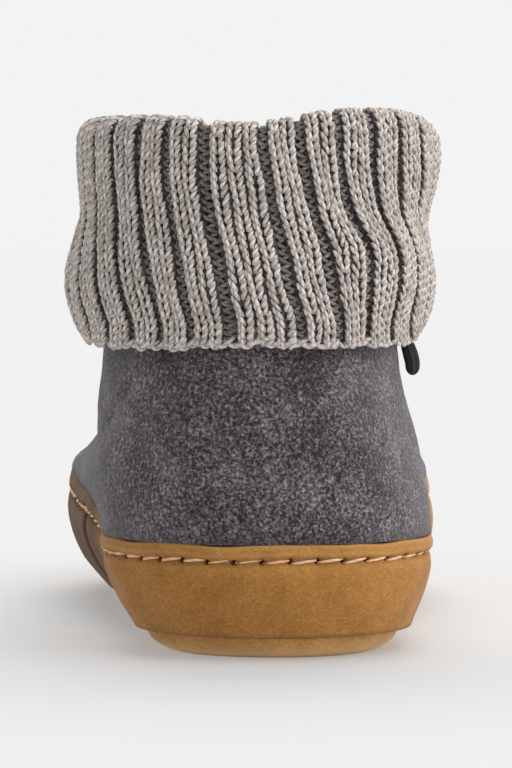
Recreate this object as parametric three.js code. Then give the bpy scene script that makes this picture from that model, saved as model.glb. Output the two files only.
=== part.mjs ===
// A right slipper boot: a boiled wool upper in a suede cup on a thin suede outsole, with a felt insole,
// a ribbed knit cuff folded down over the collar and a small blank tab on the outer side.
// Millimetres, +Z up, the toe towards +Y and the outer side of the foot towards +X.
import * as THREE from "three";

// Driving sizes of the foot's form, which is the outer face of the felt
const LENGTH = 262;
const BALL_WIDTH = 96.6;
const HEEL_WIDTH = 80.4;
const SHAFT_WIDTH = 71;
const SHAFT_LENGTH = 101;
const INSTEP_HEIGHT = 77;
const BALL_HEIGHT = 44;
const COLLAR_HEIGHT = 89;
const TOE_SPRING = 7;
const ARCH_LIFT = 1.5;
const THROAT_BLEND = 14;

// Walls and clearances
const CLEARANCE = 0.3;
const FELT_WALL = 3.2;
const FELT_UNDER_SUEDE = 2.4;
const SUEDE_WALL = 1.8;
const OUTSOLE_THICKNESS = 5.2;
const INSOLE_THICKNESS = 4;

// The suede cup: its rim stands where the form is widest, and its foot is drawn in to the outsole
const RIM_HEIGHT = 27.7;
const RIM_RISE = 7;
const TUCK_OUTER_SIDE = 4.3;
const TUCK_INNER_SIDE = 8.6;
const FOREFOOT_BULGE = 1.6;
const SOLE_STEP = 3.2;
const INSOLE_ROUNDING = 0.8;

// The knit cuff
const CUFF_HEIGHT = 129;
const CUFF_HEM_HEIGHT = 73.6;
const CUFF_ROOT_HEIGHT = 77;
const KNIT_THICKNESS = 4;
const CUFF_SWELL = 9.7;
const CUFF_LEAN = 2.1;
const HEM_STAND = 2.5;
const STEEPEST_FLANK = 0.6;

// The tab
const TAB_WIDTH = 12;
const TAB_TOP = 80;
const TAB_BOTTOM = 66.5;
const TAB_LAYER = 1.6;
const TAB_ALONG = 52;

// How many points each ring has, and how finely the form's surface is searched for
const AROUND = 48;
const SEARCH_STEPS = 36;
const NORMAL_STEP = 0.05;

// Forepart of the form, a row for each station. along is a share of LENGTH, sideways and width are shares of
// BALL_WIDTH (sideways is negative towards the inner side), and height says how far the crown has risen from
// BALL_HEIGHT (0) to INSTEP_HEIGHT (1).
const FOREPART = [
  { along: 0.0, sideways: 0.0, width: 0.5, height: 1.05 },
  { along: 0.2, sideways: -0.01, width: 0.62, height: 1.05 },
  { along: 0.38, sideways: -0.033, width: 0.83, height: 0.98 },
  { along: 0.49, sideways: -0.031, width: 0.91, height: 0.74 },
  { along: 0.57, sideways: -0.031, width: 0.966, height: 0.36 },
  { along: 0.67, sideways: -0.039, width: 1.0, height: 0.02 },
  { along: 0.76, sideways: -0.049, width: 0.99, height: -0.06 },
  { along: 0.86, sideways: -0.06, width: 0.958, height: -0.06 },
  { along: 1.0, sideways: -0.08, width: 0.933, height: -0.06 },
];
const TOE_ROUND_STARTS = 0.73;
const TOE_ROUND_POWER = 1.95;
const FOREPART_REAR_STARTS = 0.32;
const FOREPART_REAR_ENDS = 0.1;
const TOE_CENTRE = 0.535;

// Where the bends begin and end, as shares of LENGTH
const ARCH_SPAN = { starts: 0.29, ends: 0.53 };
const TOE_SPRING_SPAN = { starts: 0.77, ends: 1 };
const RIM_RISE_SPAN = { starts: 0.22, ends: 0.68 };
const BULGE_SPAN = { starts: 0.2, ends: 0.55 };

// Heel and shaft, a row for each level. level is a share of COLLAR_HEIGHT; back and widest are shares of
// SHAFT_LENGTH measured forward from the back of the heel, and front from there too; width goes from
// HEEL_WIDTH (0) to SHAFT_WIDTH (1), and sideways is a share of SHAFT_WIDTH.
const SHAFT = [
  { level: 0.0, back: 0.0, widest: 0.43, front: 1.2, width: 0.0, sideways: 0.014 },
  { level: 0.308, back: 0.0, widest: 0.43, front: 1.2, width: 0.0, sideways: 0.014 },
  { level: 0.436, back: 0.008, widest: 0.44, front: 1.17, width: -0.08, sideways: -0.004 },
  { level: 0.565, back: 0.024, widest: 0.46, front: 1.13, width: 0.24, sideways: -0.018 },
  { level: 0.664, back: 0.045, widest: 0.48, front: 1.11, width: 0.51, sideways: -0.034 },
  { level: 0.773, back: 0.066, widest: 0.51, front: 1.095, width: 0.82, sideways: -0.041 },
  { level: 0.901, back: 0.088, widest: 0.54, front: 1.09, width: 0.98, sideways: -0.042 },
  { level: 1.0, back: 0.095, widest: 0.55, front: 1.095, width: 1.0, sideways: -0.042 },
];
const OVAL_POWER = 2.15;

// Levels of the upper's rows above the rim, as shares of the way from RIM_HEIGHT to COLLAR_HEIGHT
const UPPER_LEVELS = [0, 0.07, 0.14, 0.21, 0.28, 0.34, 0.4, 0.46, 0.52, 0.58, 0.65, 0.73, 0.82, 0.91, 1];

// Section of the cup's outer face. height is a share of RIM_HEIGHT, tuck a share of the tuck at that place,
// bulge a share of the forefoot's bulge, and swell a share of SUEDE_WALL: the band over the stitch line stands
// out, and the stitches draw it in.
const CUP = [
  { height: 1.0, tuck: 0.0, bulge: 0.0, swell: -0.05 },
  { height: 0.95, tuck: 0.0, bulge: 0.1, swell: 0.16 },
  { height: 0.899, tuck: 0.01, bulge: 0.35, swell: 0.1 },
  { height: 0.86, tuck: 0.03, bulge: 0.6, swell: -0.35 },
  { height: 0.807, tuck: 0.06, bulge: 0.9, swell: 0.0 },
  { height: 0.711, tuck: 0.14, bulge: 1.12, swell: 0.3 },
  { height: 0.557, tuck: 0.34, bulge: 1.24, swell: 0.3 },
  { height: 0.402, tuck: 0.6, bulge: 1.0, swell: 0.16 },
  { height: 0.287, tuck: 0.83, bulge: 0.7, swell: 0.05 },
];

// Levels of the cup's inner face and of the felt that stands in it, from the rim down, as shares of RIM_HEIGHT
const INSIDE_SHARES = [1, 0.865, 0.711, 0.557, 0.42];

// Levels of the insole's edge as shares of its thickness, and rings of a flat face as shares of the way out
// from the spine
const INSOLE_SHARES = [0, 0.2, 0.8, 1];
const FLAT_SHARES = [1, 0.66, 0.33];

// Section of the outsole's edge. height is a share of OUTSOLE_THICKNESS, inset a share of it too.
const SOLE_EDGE = [
  { height: 0.0, inset: 1.15 },
  { height: 0.1, inset: 0.8 },
  { height: 0.3, inset: 0.42 },
  { height: 0.6, inset: 0.12 },
  { height: 1.0, inset: 0.0 },
];

// Outer face of the folded cuff, from the hem up. rise is a share of the way from the hem to the fold, and
// out a share of CUFF_SWELL.
const CUFF_FACE = [
  { rise: 0.0, out: 0.45 },
  { rise: 0.03, out: 0.6 },
  { rise: 0.1, out: 0.78 },
  { rise: 0.19, out: 0.94 },
  { rise: 0.29, out: 1.0 },
  { rise: 0.39, out: 0.92 },
  { rise: 0.49, out: 0.79 },
  { rise: 0.58, out: 0.71 },
  { rise: 0.68, out: 0.8 },
  { rise: 0.78, out: 0.88 },
  { rise: 0.88, out: 0.91 },
];
const BROW = CUFF_SWELL * CUFF_FACE[CUFF_FACE.length - 1].out;

// The fold over the cuff's top: depth is a share of KNIT_THICKNESS, measured in from the brow of its outer face
const CUFF_FOLD = [
  { rise: 0.95, depth: 0.13 },
  { rise: 0.99, depth: 0.5 },
  { rise: 1.0, depth: 1.05 },
  { rise: 0.985, depth: 1.6 },
  { rise: 0.93, depth: 2.05 },
  { rise: 0.74, depth: 2.2 },
];

// The narrow slot between the folded layers, up one side and down the other, measured as the fold is
const CUFF_SLOT = [
  { rise: 0.74, depth: 1.28 },
  { rise: 0.84, depth: 1.1 },
  { rise: 0.74, depth: 1.0 },
];

// Half-way up the cuff: how far the lining and the inner layer stand in and out from the collar's inner face as
// shares of KNIT_THICKNESS, and how far the outer layer's inner face stands out as a share of CUFF_SWELL
const CUFF_WAIST = { rise: 0.5, lining: 0.55, layer: 0.75, outer: 0.3 };

// Inner face of the outer layer near the hem: stand is a share of KNIT_THICKNESS over HEM_STAND
const OVER_COLLAR_STAND = 0.45;
const CUFF_UNDERSIDE = [
  { rise: 0.14, stand: 0.25 },
  { rise: 0.01, stand: 0.0 },
];

// The lean begins this far over the collar and is full this far under the fold
const LEAN_STARTS_OVER = 2;
const LEAN_FULL_UNDER = 8;

// Height of the fold and of the hem around the cuff: turn is in degrees from the outer side, over the toe
const CUFF_EDGE = [
  { turn: -180, fold: -0.8, hem: 2.2 },
  { turn: -150, fold: 0.1, hem: 1.2 },
  { turn: -115, fold: -0.4, hem: 0.4 },
  { turn: -92, fold: -2.0, hem: 0.2 },
  { turn: -68, fold: 1.2, hem: -0.3 },
  { turn: -40, fold: 0.7, hem: -0.3 },
  { turn: -10, fold: -2.4, hem: 0.1 },
  { turn: 40, fold: -3.6, hem: 0.8 },
  { turn: 90, fold: -3.0, hem: 2.4 },
  { turn: 140, fold: -2.2, hem: 2.0 },
  { turn: 180, fold: -0.8, hem: 2.2 },
];

// Levels of the layers under the foot
const CUP_FLOOR = OUTSOLE_THICKNESS + CLEARANCE;
const FELT_FLOOR = CUP_FLOOR + SUEDE_WALL + CLEARANCE;
const INSOLE_TOP = FELT_FLOOR + INSOLE_THICKNESS;

// Outline of the tab's folded strip. out is a share of TAB_LAYER, flare a share of how far the felt's flank
// comes out over the tab's length, and drop a share of that length.
const TAB_BACK_FOOT = { out: 0, flare: 1, drop: 0.85 };
const TAB_LOOP = { out: 1, flare: 1, drop: 1.15 };
const TAB_FRONT_FOOT = { out: 2.4, flare: 1, drop: 0.85 };
const TAB_FRONT_CURVE = { out: 2.2, flare: 1, drop: 0.6 };
const TAB_FRONT_MIDDLE = { out: 1, flare: 0.5, drop: 0.5 };
const TAB_CURVE_SEGMENTS = 5;

// Colour and roughness of each piece
const FINISHES = {
  outsole: [0xb0874f, 0.92],
  suede_cup: [0xb18a52, 0.92],
  insole: [0x8c8783, 0.95],
  upper: [0x6a656b, 0.97],
  cuff: [0xcdc3bc, 0.95],
  side_tab: [0x1b1b1f, 0.55],
};

const mix = (a, b, t) => a + (b - a) * t;
const shareOf = (x, { starts, ends }) => THREE.MathUtils.clamp((x / LENGTH - starts) / (ends - starts), 0, 1);
const eased = (x, span) => THREE.MathUtils.smoothstep(shareOf(x, span), 0, 1);

// Reads one column of a table at x, on a smooth curve through its rows
function column(table, key, x, name) {
  const last = table.length - 1;
  const at = THREE.MathUtils.clamp(x, table[0][key], table[last][key]);
  let i = 0;
  while (i < last - 1 && at > table[i + 1][key]) i++;
  const slope = (j) => {
    const low = table[Math.max(j - 1, 0)];
    const high = table[Math.min(j + 1, last)];
    return (high[name] - low[name]) / (high[key] - low[key]);
  };
  const span = table[i + 1][key] - table[i][key];
  const t = (at - table[i][key]) / span;
  const rise = table[i + 1][name] - table[i][name];
  const start = slope(i) * span;
  const end = slope(i + 1) * span;
  return table[i][name] + t * (start + t * (3 * rise - 2 * start - end + t * (start + end - 2 * rise)));
}

// How far the whole shoe is bent up at a distance along it: flat at the heel and the ball, raised at the
// arch and the toe
function lift(y) {
  const arch = Math.sin(Math.PI * shareOf(y, ARCH_SPAN)) ** 2;
  return ARCH_LIFT * arch + TOE_SPRING * shareOf(y, TOE_SPRING_SPAN) ** 2;
}

// Height of a point of the finished shoe: the cup's rim rises from the heel to the ball, which the levels
// under it down to the insole and over it up to the collar share, and the whole is bent by the lift
function finishedHeight(y, z) {
  const rise = RIM_RISE * eased(y, RIM_RISE_SPAN);
  const below = (z - INSOLE_TOP) / (RIM_HEIGHT - INSOLE_TOP);
  const above = (COLLAR_HEIGHT - z) / (COLLAR_HEIGHT - RIM_HEIGHT);
  return z + rise * THREE.MathUtils.clamp(Math.min(below, above), 0, 1) + lift(y);
}

// The form as a field: about the distance in millimetres outside its surface, for z measured before the bend
function formField(x, y, z) {
  const above = Math.max(0, z - RIM_HEIGHT);
  const level = z / COLLAR_HEIGHT;
  const back = SHAFT_LENGTH * column(SHAFT, "level", level, "back");
  const widest = SHAFT_LENGTH * column(SHAFT, "level", level, "widest");
  const front = SHAFT_LENGTH * column(SHAFT, "level", level, "front");
  const side = mix(HEEL_WIDTH, SHAFT_WIDTH, column(SHAFT, "level", level, "width")) / 2;
  const middle = SHAFT_WIDTH * column(SHAFT, "level", level, "sideways");
  const reach = y < widest ? widest - back : front - widest;
  const across = Math.abs(x - middle) / side;
  const oval = (across ** OVAL_POWER + (Math.abs(y - widest) / reach) ** OVAL_POWER) ** (1 / OVAL_POWER);
  const shaft = (oval - 1) * side;

  const along = y / LENGTH;
  const half = (BALL_WIDTH * column(FOREPART, "along", along, "width")) / 2;
  const line = BALL_WIDTH * column(FOREPART, "along", along, "sideways");
  const crown = mix(BALL_HEIGHT, INSTEP_HEIGHT, column(FOREPART, "along", along, "height")) - RIM_HEIGHT;
  const toe = Math.max(0, (along - TOE_ROUND_STARTS) / (1 - TOE_ROUND_STARTS));
  const rear = Math.max(0, (FOREPART_REAR_STARTS - along) / (FOREPART_REAR_STARTS - FOREPART_REAR_ENDS));
  const terms = [Math.abs(x - line) / half, above / crown, toe, rear];
  const round = terms.reduce((sum, term) => sum + term ** TOE_ROUND_POWER, 0) ** (1 / TOE_ROUND_POWER);
  const forepart = (round - 1) * half;

  const near = Math.max(THROAT_BLEND - Math.abs(shaft - forepart), 0) / THROAT_BLEND;
  return Math.min(shaft, forepart) - (near * near * THROAT_BLEND) / 4;
}

// Distance from a point to the form's surface along a level direction
function reachSurface(x, y, z, dx, dy) {
  let inside = 0;
  let outside = LENGTH;
  for (let step = 0; step < SEARCH_STEPS; step++) {
    const middle = (inside + outside) / 2;
    if (formField(x + dx * middle, y + dy * middle, z) < 0) inside = middle;
    else outside = middle;
  }
  return inside;
}

// A point of the form at a height and a turn, which is counted from the outer side round the toe. It has its
// place, the field's outward direction there, and the point of the shoe's spine that it is seen from.
function formPoint(z, turn) {
  const level = z / COLLAR_HEIGHT;
  const heelX = SHAFT_WIDTH * column(SHAFT, "level", level, "sideways");
  const heelY = SHAFT_LENGTH * column(SHAFT, "level", level, "widest");
  const tip = heelY + reachSurface(heelX, heelY, z, 0, 1);
  const frontY = Math.max(heelY, tip - BALL_WIDTH * TOE_CENTRE);
  const frontX = BALL_WIDTH * column(FOREPART, "along", frontY / LENGTH, "sideways");
  const dx = Math.cos(turn);
  const dy = Math.sin(turn);
  const share = (1 + dy) / 2;
  const spine = new THREE.Vector2(mix(heelX, frontX, share), mix(heelY, frontY, share));
  const reach = reachSurface(spine.x, spine.y, z, dx, dy);
  const place = new THREE.Vector3(spine.x + dx * reach, spine.y + dy * reach, z);
  return { turn, spine, place, normal: fieldNormal(place) };
}

const TURNS = Array.from({ length: AROUND }, (_, i) => (2 * Math.PI * i) / AROUND);
const formRing = (z) => TURNS.map((turn) => formPoint(z, turn));

// The field's direction of growth, by central differences
function fieldNormal(p) {
  const step = NORMAL_STEP;
  const difference = (dx, dy, dz) =>
    formField(p.x + dx, p.y + dy, p.z + dz) - formField(p.x - dx, p.y - dy, p.z - dz);
  return new THREE.Vector3(difference(step, 0, 0), difference(0, step, 0), difference(0, 0, step)).normalize();
}

// How far the cup's foot is drawn in at a turn: more on the inner side of the foot than on the outer
const tuckAt = (turn) => mix(TUCK_INNER_SIDE, TUCK_OUTER_SIDE, (1 + Math.cos(turn)) / 2);

const RIM_RING = formRing(RIM_HEIGHT);

// A ring inside the rim's outline, moved in level by a distance that may depend on the place
const insetRing = (z, insetOf) =>
  RIM_RING.map(({ place, normal, turn }) => {
    const flat = new THREE.Vector2(normal.x, normal.y).normalize();
    const inset = insetOf(turn, place);
    return new THREE.Vector3(place.x - flat.x * inset, place.y - flat.y * inset, z);
  });

// A ring moved towards the spine, for the flat faces of soles
const inwardRing = (ring, share) =>
  ring.map((p, i) => {
    const { spine } = RIM_RING[i];
    return new THREE.Vector3(mix(p.x, spine.x, share), mix(p.y, spine.y, share), p.z);
  });

// Joins rings of equal count into one skin, as a loop of rings or closed at both ends along the spine
function skin(rings, isLoop) {
  const around = rings[0].length;
  const points = rings.flat().map((p) => new THREE.Vector3(p.x, p.y, finishedHeight(p.y, p.z)));
  const index = [];
  const bands = isLoop ? rings.length : rings.length - 1;
  for (let r = 0; r < bands; r++) {
    for (let i = 0; i < around; i++) {
      const a = r * around + i;
      const b = r * around + ((i + 1) % around);
      const c = ((r + 1) % rings.length) * around + i;
      const d = ((r + 1) % rings.length) * around + ((i + 1) % around);
      index.push(a, b, d, a, d, c);
    }
  }
  const geometry = new THREE.BufferGeometry().setFromPoints(points);
  geometry.setIndex(index);
  geometry.computeVertexNormals();
  return geometry;
}

// A slab with flat faces: rings from the middle of the lower face, round its edge, to that of the upper
function slab(edge) {
  const lower = FLAT_SHARES.map((share) => inwardRing(edge[0], share));
  const upper = FLAT_SHARES.map((share) => inwardRing(edge[edge.length - 1], share)).reverse();
  return skin([...lower, ...edge, ...upper], false);
}

// The cup's section from its floor up, and the levels of its inner face
const CUP_FOOT = { height: CUP_FLOOR / RIM_HEIGHT, tuck: 1, bulge: 0.3, swell: 0 };
const CUP_BY_HEIGHT = [...CUP, CUP_FOOT].reverse();
const cupColumn = (z, name) => column(CUP_BY_HEIGHT, "height", z / RIM_HEIGHT, name);
const INSIDE_LEVELS = INSIDE_SHARES.map((share) => RIM_HEIGHT * share);

// The inner face of the cup, or of the felt in it, as an inset from the rim's outline: it has the tuck and the
// forefoot's bulge, and not the band and the stitch groove
const plainInset = (z, turn, place, depth) =>
  cupColumn(z, "tuck") * tuckAt(turn) - cupColumn(z, "bulge") * FOREFOOT_BULGE * eased(place.y, BULGE_SPAN) + depth;

// Outsole: its rim is drawn in a little more than the cup's foot, with a rounded lower edge
function outsoleGeometry() {
  return slab(
    SOLE_EDGE.map(({ height, inset }) => {
      const depth = SOLE_STEP + OUTSOLE_THICKNESS * inset;
      return insetRing(OUTSOLE_THICKNESS * height, (turn, place) => plainInset(CUP_FLOOR, turn, place, depth));
    }),
  );
}

// The cup's outer face
const cupInset = (z, turn, place) => plainInset(z, turn, place, 0) - cupColumn(z, "swell") * SUEDE_WALL;

// Suede cup: outer face from the floor up, the rim, the inner face down, and the floor's upper face
function cupGeometry() {
  const outer = CUP_BY_HEIGHT.map(({ height }) =>
    insetRing(RIM_HEIGHT * height, (turn, place) => cupInset(RIM_HEIGHT * height, turn, place)),
  );
  const levels = [...INSIDE_LEVELS, CUP_FLOOR + SUEDE_WALL];
  const inner = levels.map((z) => insetRing(z, (turn, place) => plainInset(z, turn, place, SUEDE_WALL)));
  return slab([...outer, ...inner]);
}

// Insole: lies on the cup's floor inside the felt
function insoleGeometry() {
  const depth = SUEDE_WALL + FELT_UNDER_SUEDE + 2 * CLEARANCE;
  return slab(
    INSOLE_SHARES.map((share) => {
      const z = mix(FELT_FLOOR, INSOLE_TOP, share);
      const rounding = share === 1 ? INSOLE_ROUNDING : 0;
      return insetRing(z, (turn, place) => plainInset(z, turn, place, depth + rounding));
    }),
  );
}

const upperHeight = (share) => mix(RIM_HEIGHT + CLEARANCE, COLLAR_HEIGHT, share);

// Upper: felt from inside the cup up over the vamp to the collar, one wall open above and below
function upperGeometry() {
  const levels = [RIM_HEIGHT + CLEARANCE, ...INSIDE_LEVELS, FELT_FLOOR].reverse();
  const inCup = (depth) => levels.map((z) => insetRing(z, (turn, place) => plainInset(z, turn, place, depth)));
  const over = UPPER_LEVELS.map((share) => formRing(upperHeight(share)));
  const outer = over.map((ring) => ring.map(({ place }) => place));
  const inner = over.map((ring) => ring.map(({ place, normal }) => place.clone().addScaledVector(normal, -FELT_WALL)));
  const outerUnder = inCup(SUEDE_WALL + CLEARANCE);
  const innerUnder = inCup(SUEDE_WALL + CLEARANCE + FELT_UNDER_SUEDE);
  return skin([...outerUnder, ...outer, ...inner.reverse(), ...innerUnder.reverse()], true);
}

const turnInDegrees = (turn) => THREE.MathUtils.radToDeg(turn > Math.PI ? turn - 2 * Math.PI : turn);

// Height of a level of the cuff at a turn, as a share of the way from its hem to its fold
const cuffHeight = (rise) => (turn) => {
  const fold = CUFF_HEIGHT + column(CUFF_EDGE, "turn", turnInDegrees(turn), "fold");
  const hem = CUFF_HEM_HEIGHT + column(CUFF_EDGE, "turn", turnInDegrees(turn), "hem");
  return mix(hem, fold, rise);
};

// A ring of the cuff: it stands off the form below the collar, or off the collar's outline above, and the
// cuff's upper part leans a little to the outer side
function cuffRing(heightAt, out) {
  return TURNS.map((turn) => {
    const z = heightAt(turn);
    const { place, normal } = formPoint(Math.min(z, COLLAR_HEIGHT), turn);
    const flat = new THREE.Vector2(normal.x, normal.y);
    flat.setLength(out / Math.max(flat.length(), STEEPEST_FLANK));
    const leaned = THREE.MathUtils.smoothstep(z, COLLAR_HEIGHT + LEAN_STARTS_OVER, CUFF_HEIGHT - LEAN_FULL_UNDER);
    const lean = CUFF_LEAN * leaned;
    return new THREE.Vector3(place.x + flat.x + lean, place.y + flat.y, z);
  });
}

// Cuff: outer face, fold, lining down inside the collar, up again behind it, and the slot between the layers
// down to the hem
function cuffGeometry() {
  const inside = -FELT_WALL - CLEARANCE;
  const over = COLLAR_HEIGHT + 2 * CLEARANCE;
  const level = (z) => () => z;
  const collarLevels = UPPER_LEVELS.map(upperHeight).filter((z) => z > CUFF_ROOT_HEIGHT && z < COLLAR_HEIGHT);
  const up = [CUFF_ROOT_HEIGHT, ...collarLevels, COLLAR_HEIGHT];
  const down = [...up].reverse();
  const waist = cuffHeight(CUFF_WAIST.rise);
  const fromBrow = ({ rise, depth }) => cuffRing(cuffHeight(rise), BROW - depth * KNIT_THICKNESS);
  const overHem = (heightAt, stand) => cuffRing(heightAt, HEM_STAND + stand * KNIT_THICKNESS);
  return skin(
    [
      ...CUFF_FACE.map(({ rise, out }) => cuffRing(cuffHeight(rise), out * CUFF_SWELL)),
      ...CUFF_FOLD.map(fromBrow),
      cuffRing(waist, inside - CUFF_WAIST.lining * KNIT_THICKNESS),
      ...down.map((z) => cuffRing(level(z), inside - KNIT_THICKNESS)),
      ...up.map((z) => cuffRing(level(z), inside)),
      cuffRing(level(over), inside),
      cuffRing(waist, inside + CUFF_WAIST.layer * KNIT_THICKNESS),
      ...CUFF_SLOT.map(fromBrow),
      cuffRing(waist, CUFF_WAIST.outer * CUFF_SWELL),
      overHem(level(over), OVER_COLLAR_STAND),
      ...CUFF_UNDERSIDE.map(({ rise, stand }) => overHem(cuffHeight(rise), stand)),
    ],
    true,
  );
}

function piece(name, geometry) {
  const [color, roughness] = FINISHES[name];
  const mesh = new THREE.Mesh(geometry, new THREE.MeshStandardMaterial({ color, roughness, metalness: 0 }));
  mesh.name = name;
  return mesh;
}

// Tab: a folded strip that hangs from between the felt and the hem, along the felt's flank, and stands off
// it at its looped end
function tabGeometry(flankFlare) {
  const length = TAB_TOP - TAB_BOTTOM;
  const at = ({ out, flare, drop }) => [out * TAB_LAYER + flare * flankFlare, -drop * length];
  const outline = new THREE.Shape();
  outline.moveTo(0, 0);
  outline.lineTo(...at(TAB_BACK_FOOT));
  outline.quadraticCurveTo(...at(TAB_LOOP), ...at(TAB_FRONT_FOOT));
  outline.quadraticCurveTo(...at(TAB_FRONT_CURVE), ...at(TAB_FRONT_MIDDLE));
  outline.lineTo(TAB_LAYER, 0);
  outline.closePath();
  const shape = { depth: TAB_WIDTH, bevelEnabled: false, curveSegments: TAB_CURVE_SEGMENTS };
  return new THREE.ExtrudeGeometry(outline, shape).rotateX(Math.PI / 2).translate(0, TAB_WIDTH / 2, 0);
}

// The tab is set on the flank, turned to lie along it
function placedTab() {
  const flankAt = (z) => reachSurface(0, TAB_ALONG, z, 1, 0);
  const x = flankAt(TAB_TOP);
  const normal = fieldNormal(new THREE.Vector3(x, TAB_ALONG, TAB_TOP));
  const turn = Math.atan2(normal.y, normal.x);
  const tab = piece("side_tab", tabGeometry(flankAt(TAB_BOTTOM) - x));
  const z = finishedHeight(TAB_ALONG, TAB_TOP);
  tab.position.set(x + CLEARANCE * Math.cos(turn), TAB_ALONG + CLEARANCE * Math.sin(turn), z);
  tab.rotation.z = turn;
  return tab;
}

const slipper = new THREE.Group();
slipper.add(
  piece("outsole", outsoleGeometry()),
  piece("suede_cup", cupGeometry()),
  piece("insole", insoleGeometry()),
  piece("upper", upperGeometry()),
  piece("cuff", cuffGeometry()),
  placedTab(),
);

// The origin is on the floor under the middle of the whole shoe
const extent = new THREE.Box3().setFromObject(slipper);
const middle = extent.getCenter(new THREE.Vector3());
slipper.position.set(-middle.x, -middle.y, -extent.min.z);

export default slipper;
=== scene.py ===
"""A right slipper boot: boiled wool in a stitched suede cup, with a rib-knit cuff folded over its collar.

Shapes are worked out in millimetres in the shoe's own frame: the heel's back at y = 0, the toe towards +Y,
the outer side of the foot towards +X and the floor at z = 0. They go to metres in the part's frame when a
mesh is made.
"""

from __future__ import annotations

import logging
import math
from dataclasses import dataclass
from enum import Enum
from typing import Sequence

import bpy
import numpy as np
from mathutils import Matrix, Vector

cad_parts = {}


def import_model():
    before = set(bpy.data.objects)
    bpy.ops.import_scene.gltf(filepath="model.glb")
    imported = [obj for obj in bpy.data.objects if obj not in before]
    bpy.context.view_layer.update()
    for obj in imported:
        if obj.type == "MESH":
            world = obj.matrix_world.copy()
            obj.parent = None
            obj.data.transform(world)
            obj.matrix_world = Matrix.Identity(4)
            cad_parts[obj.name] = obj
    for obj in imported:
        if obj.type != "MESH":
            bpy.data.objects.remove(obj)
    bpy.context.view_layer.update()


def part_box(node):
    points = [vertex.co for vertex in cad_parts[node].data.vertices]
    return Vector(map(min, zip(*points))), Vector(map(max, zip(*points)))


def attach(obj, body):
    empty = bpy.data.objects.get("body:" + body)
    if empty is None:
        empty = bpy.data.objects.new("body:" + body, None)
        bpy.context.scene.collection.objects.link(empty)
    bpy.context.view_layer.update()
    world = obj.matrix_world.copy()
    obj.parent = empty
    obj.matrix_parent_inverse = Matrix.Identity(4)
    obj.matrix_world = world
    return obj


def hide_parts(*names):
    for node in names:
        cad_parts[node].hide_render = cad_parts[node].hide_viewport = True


LOG = logging.getLogger("slipper_boot")
MM = 0.001
TAU = 2.0 * math.pi
LATTICE = 32
HALVINGS = 30
BEAD_TIP = 0.6
CLOSING_ROWS = 2

Array = np.ndarray
Rgba = tuple[float, float, float, float]


# Tables and small functions


class Table:
    """Rows of a section table with named columns, read on a smooth curve through the rows."""

    def __init__(self, columns: str, *rows: Sequence[float]) -> None:
        """Keeps the columns as arrays.

        Args:
            columns: Names of the columns, apart by blanks, the one that is read along first.
            rows: The rows, in rising order of their first value.
        """
        names = columns.split()
        self.key = names[0]
        self.data = {name: np.array([row[i] for row in rows], dtype=float) for i, name in enumerate(names)}

    def read(self, name: str, x: Array | float) -> Array:
        """Reads a column at x, with a cubic through two rows whose slopes are those of their neighbours.

        Args:
            name: The column.
            x: Where to read it, in the first column's units; it is held to the table's ends.

        Returns:
            The values, in the shape of x.
        """
        along, value = self.data[self.key], self.data[name]
        low = np.maximum(np.arange(len(along)) - 1, 0)
        high = np.minimum(np.arange(len(along)) + 1, len(along) - 1)
        slope = (value[high] - value[low]) / (along[high] - along[low])
        at = np.clip(x, along[0], along[-1])
        i = np.clip(np.searchsorted(along, at, side="left") - 1, 0, len(along) - 2)
        span = along[i + 1] - along[i]
        t = (at - along[i]) / span
        rise, start, end = value[i + 1] - value[i], slope[i] * span, slope[i + 1] * span
        return value[i] + t * (start + t * (3 * rise - 2 * start - end + t * (start + end - 2 * rise)))


def smooth(x: Array | float, low: float, high: float) -> Array:
    """Rises from 0 at low to 1 at high, flat at both ends."""
    t = np.clip((np.asarray(x, dtype=float) - low) / (high - low), 0.0, 1.0)
    return t * t * (3.0 - 2.0 * t)


def mix(a: Array | float, b: Array | float, t: Array | float) -> Array | float:
    """Goes from a to b as t goes from 0 to 1."""
    return a + (b - a) * t


def unit(v: Array) -> Array:
    """Scales vectors along the last axis to length one."""
    return v / np.maximum(np.linalg.norm(v, axis=-1, keepdims=True), 1e-9)


def hill(x: Array, width: float) -> Array:
    """A soft hump of height one around x = 0, with its inflection near width."""
    return np.exp(-((x / width) ** 2))


def turn_apart(a: Array, b: Array | float) -> Array:
    """Difference of two turns in degrees, between -180 and 180."""
    return (a - b + 180.0) % 360.0 - 180.0


def cloudiness(points: Array, size: float, seed: int) -> Array:
    """Soft lumps: random values at the corners of a cubic lattice, blended smoothly between them.

    Args:
        points: Places in millimetres, with xyz on the last axis.
        size: Size of a lattice cell in millimetres.
        seed: Which of the many patterns to give.

    Returns:
        Values between about -1 and 1.
    """
    lattice = np.random.default_rng(seed).uniform(-1.0, 1.0, (LATTICE, LATTICE, LATTICE))
    p = points / size
    base = np.floor(p).astype(int)
    f = p - base
    f = f * f * (3.0 - 2.0 * f)
    total = np.zeros(points.shape[:-1])
    for corner in np.ndindex(2, 2, 2):
        weight = np.ones(points.shape[:-1])
        for axis, step in enumerate(corner):
            weight = weight * (f[..., axis] if step else 1.0 - f[..., axis])
        cell = (base + np.array(corner)) % LATTICE
        total += weight * lattice[cell[..., 0], cell[..., 1], cell[..., 2]]
    return total


# The form that everything follows


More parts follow.
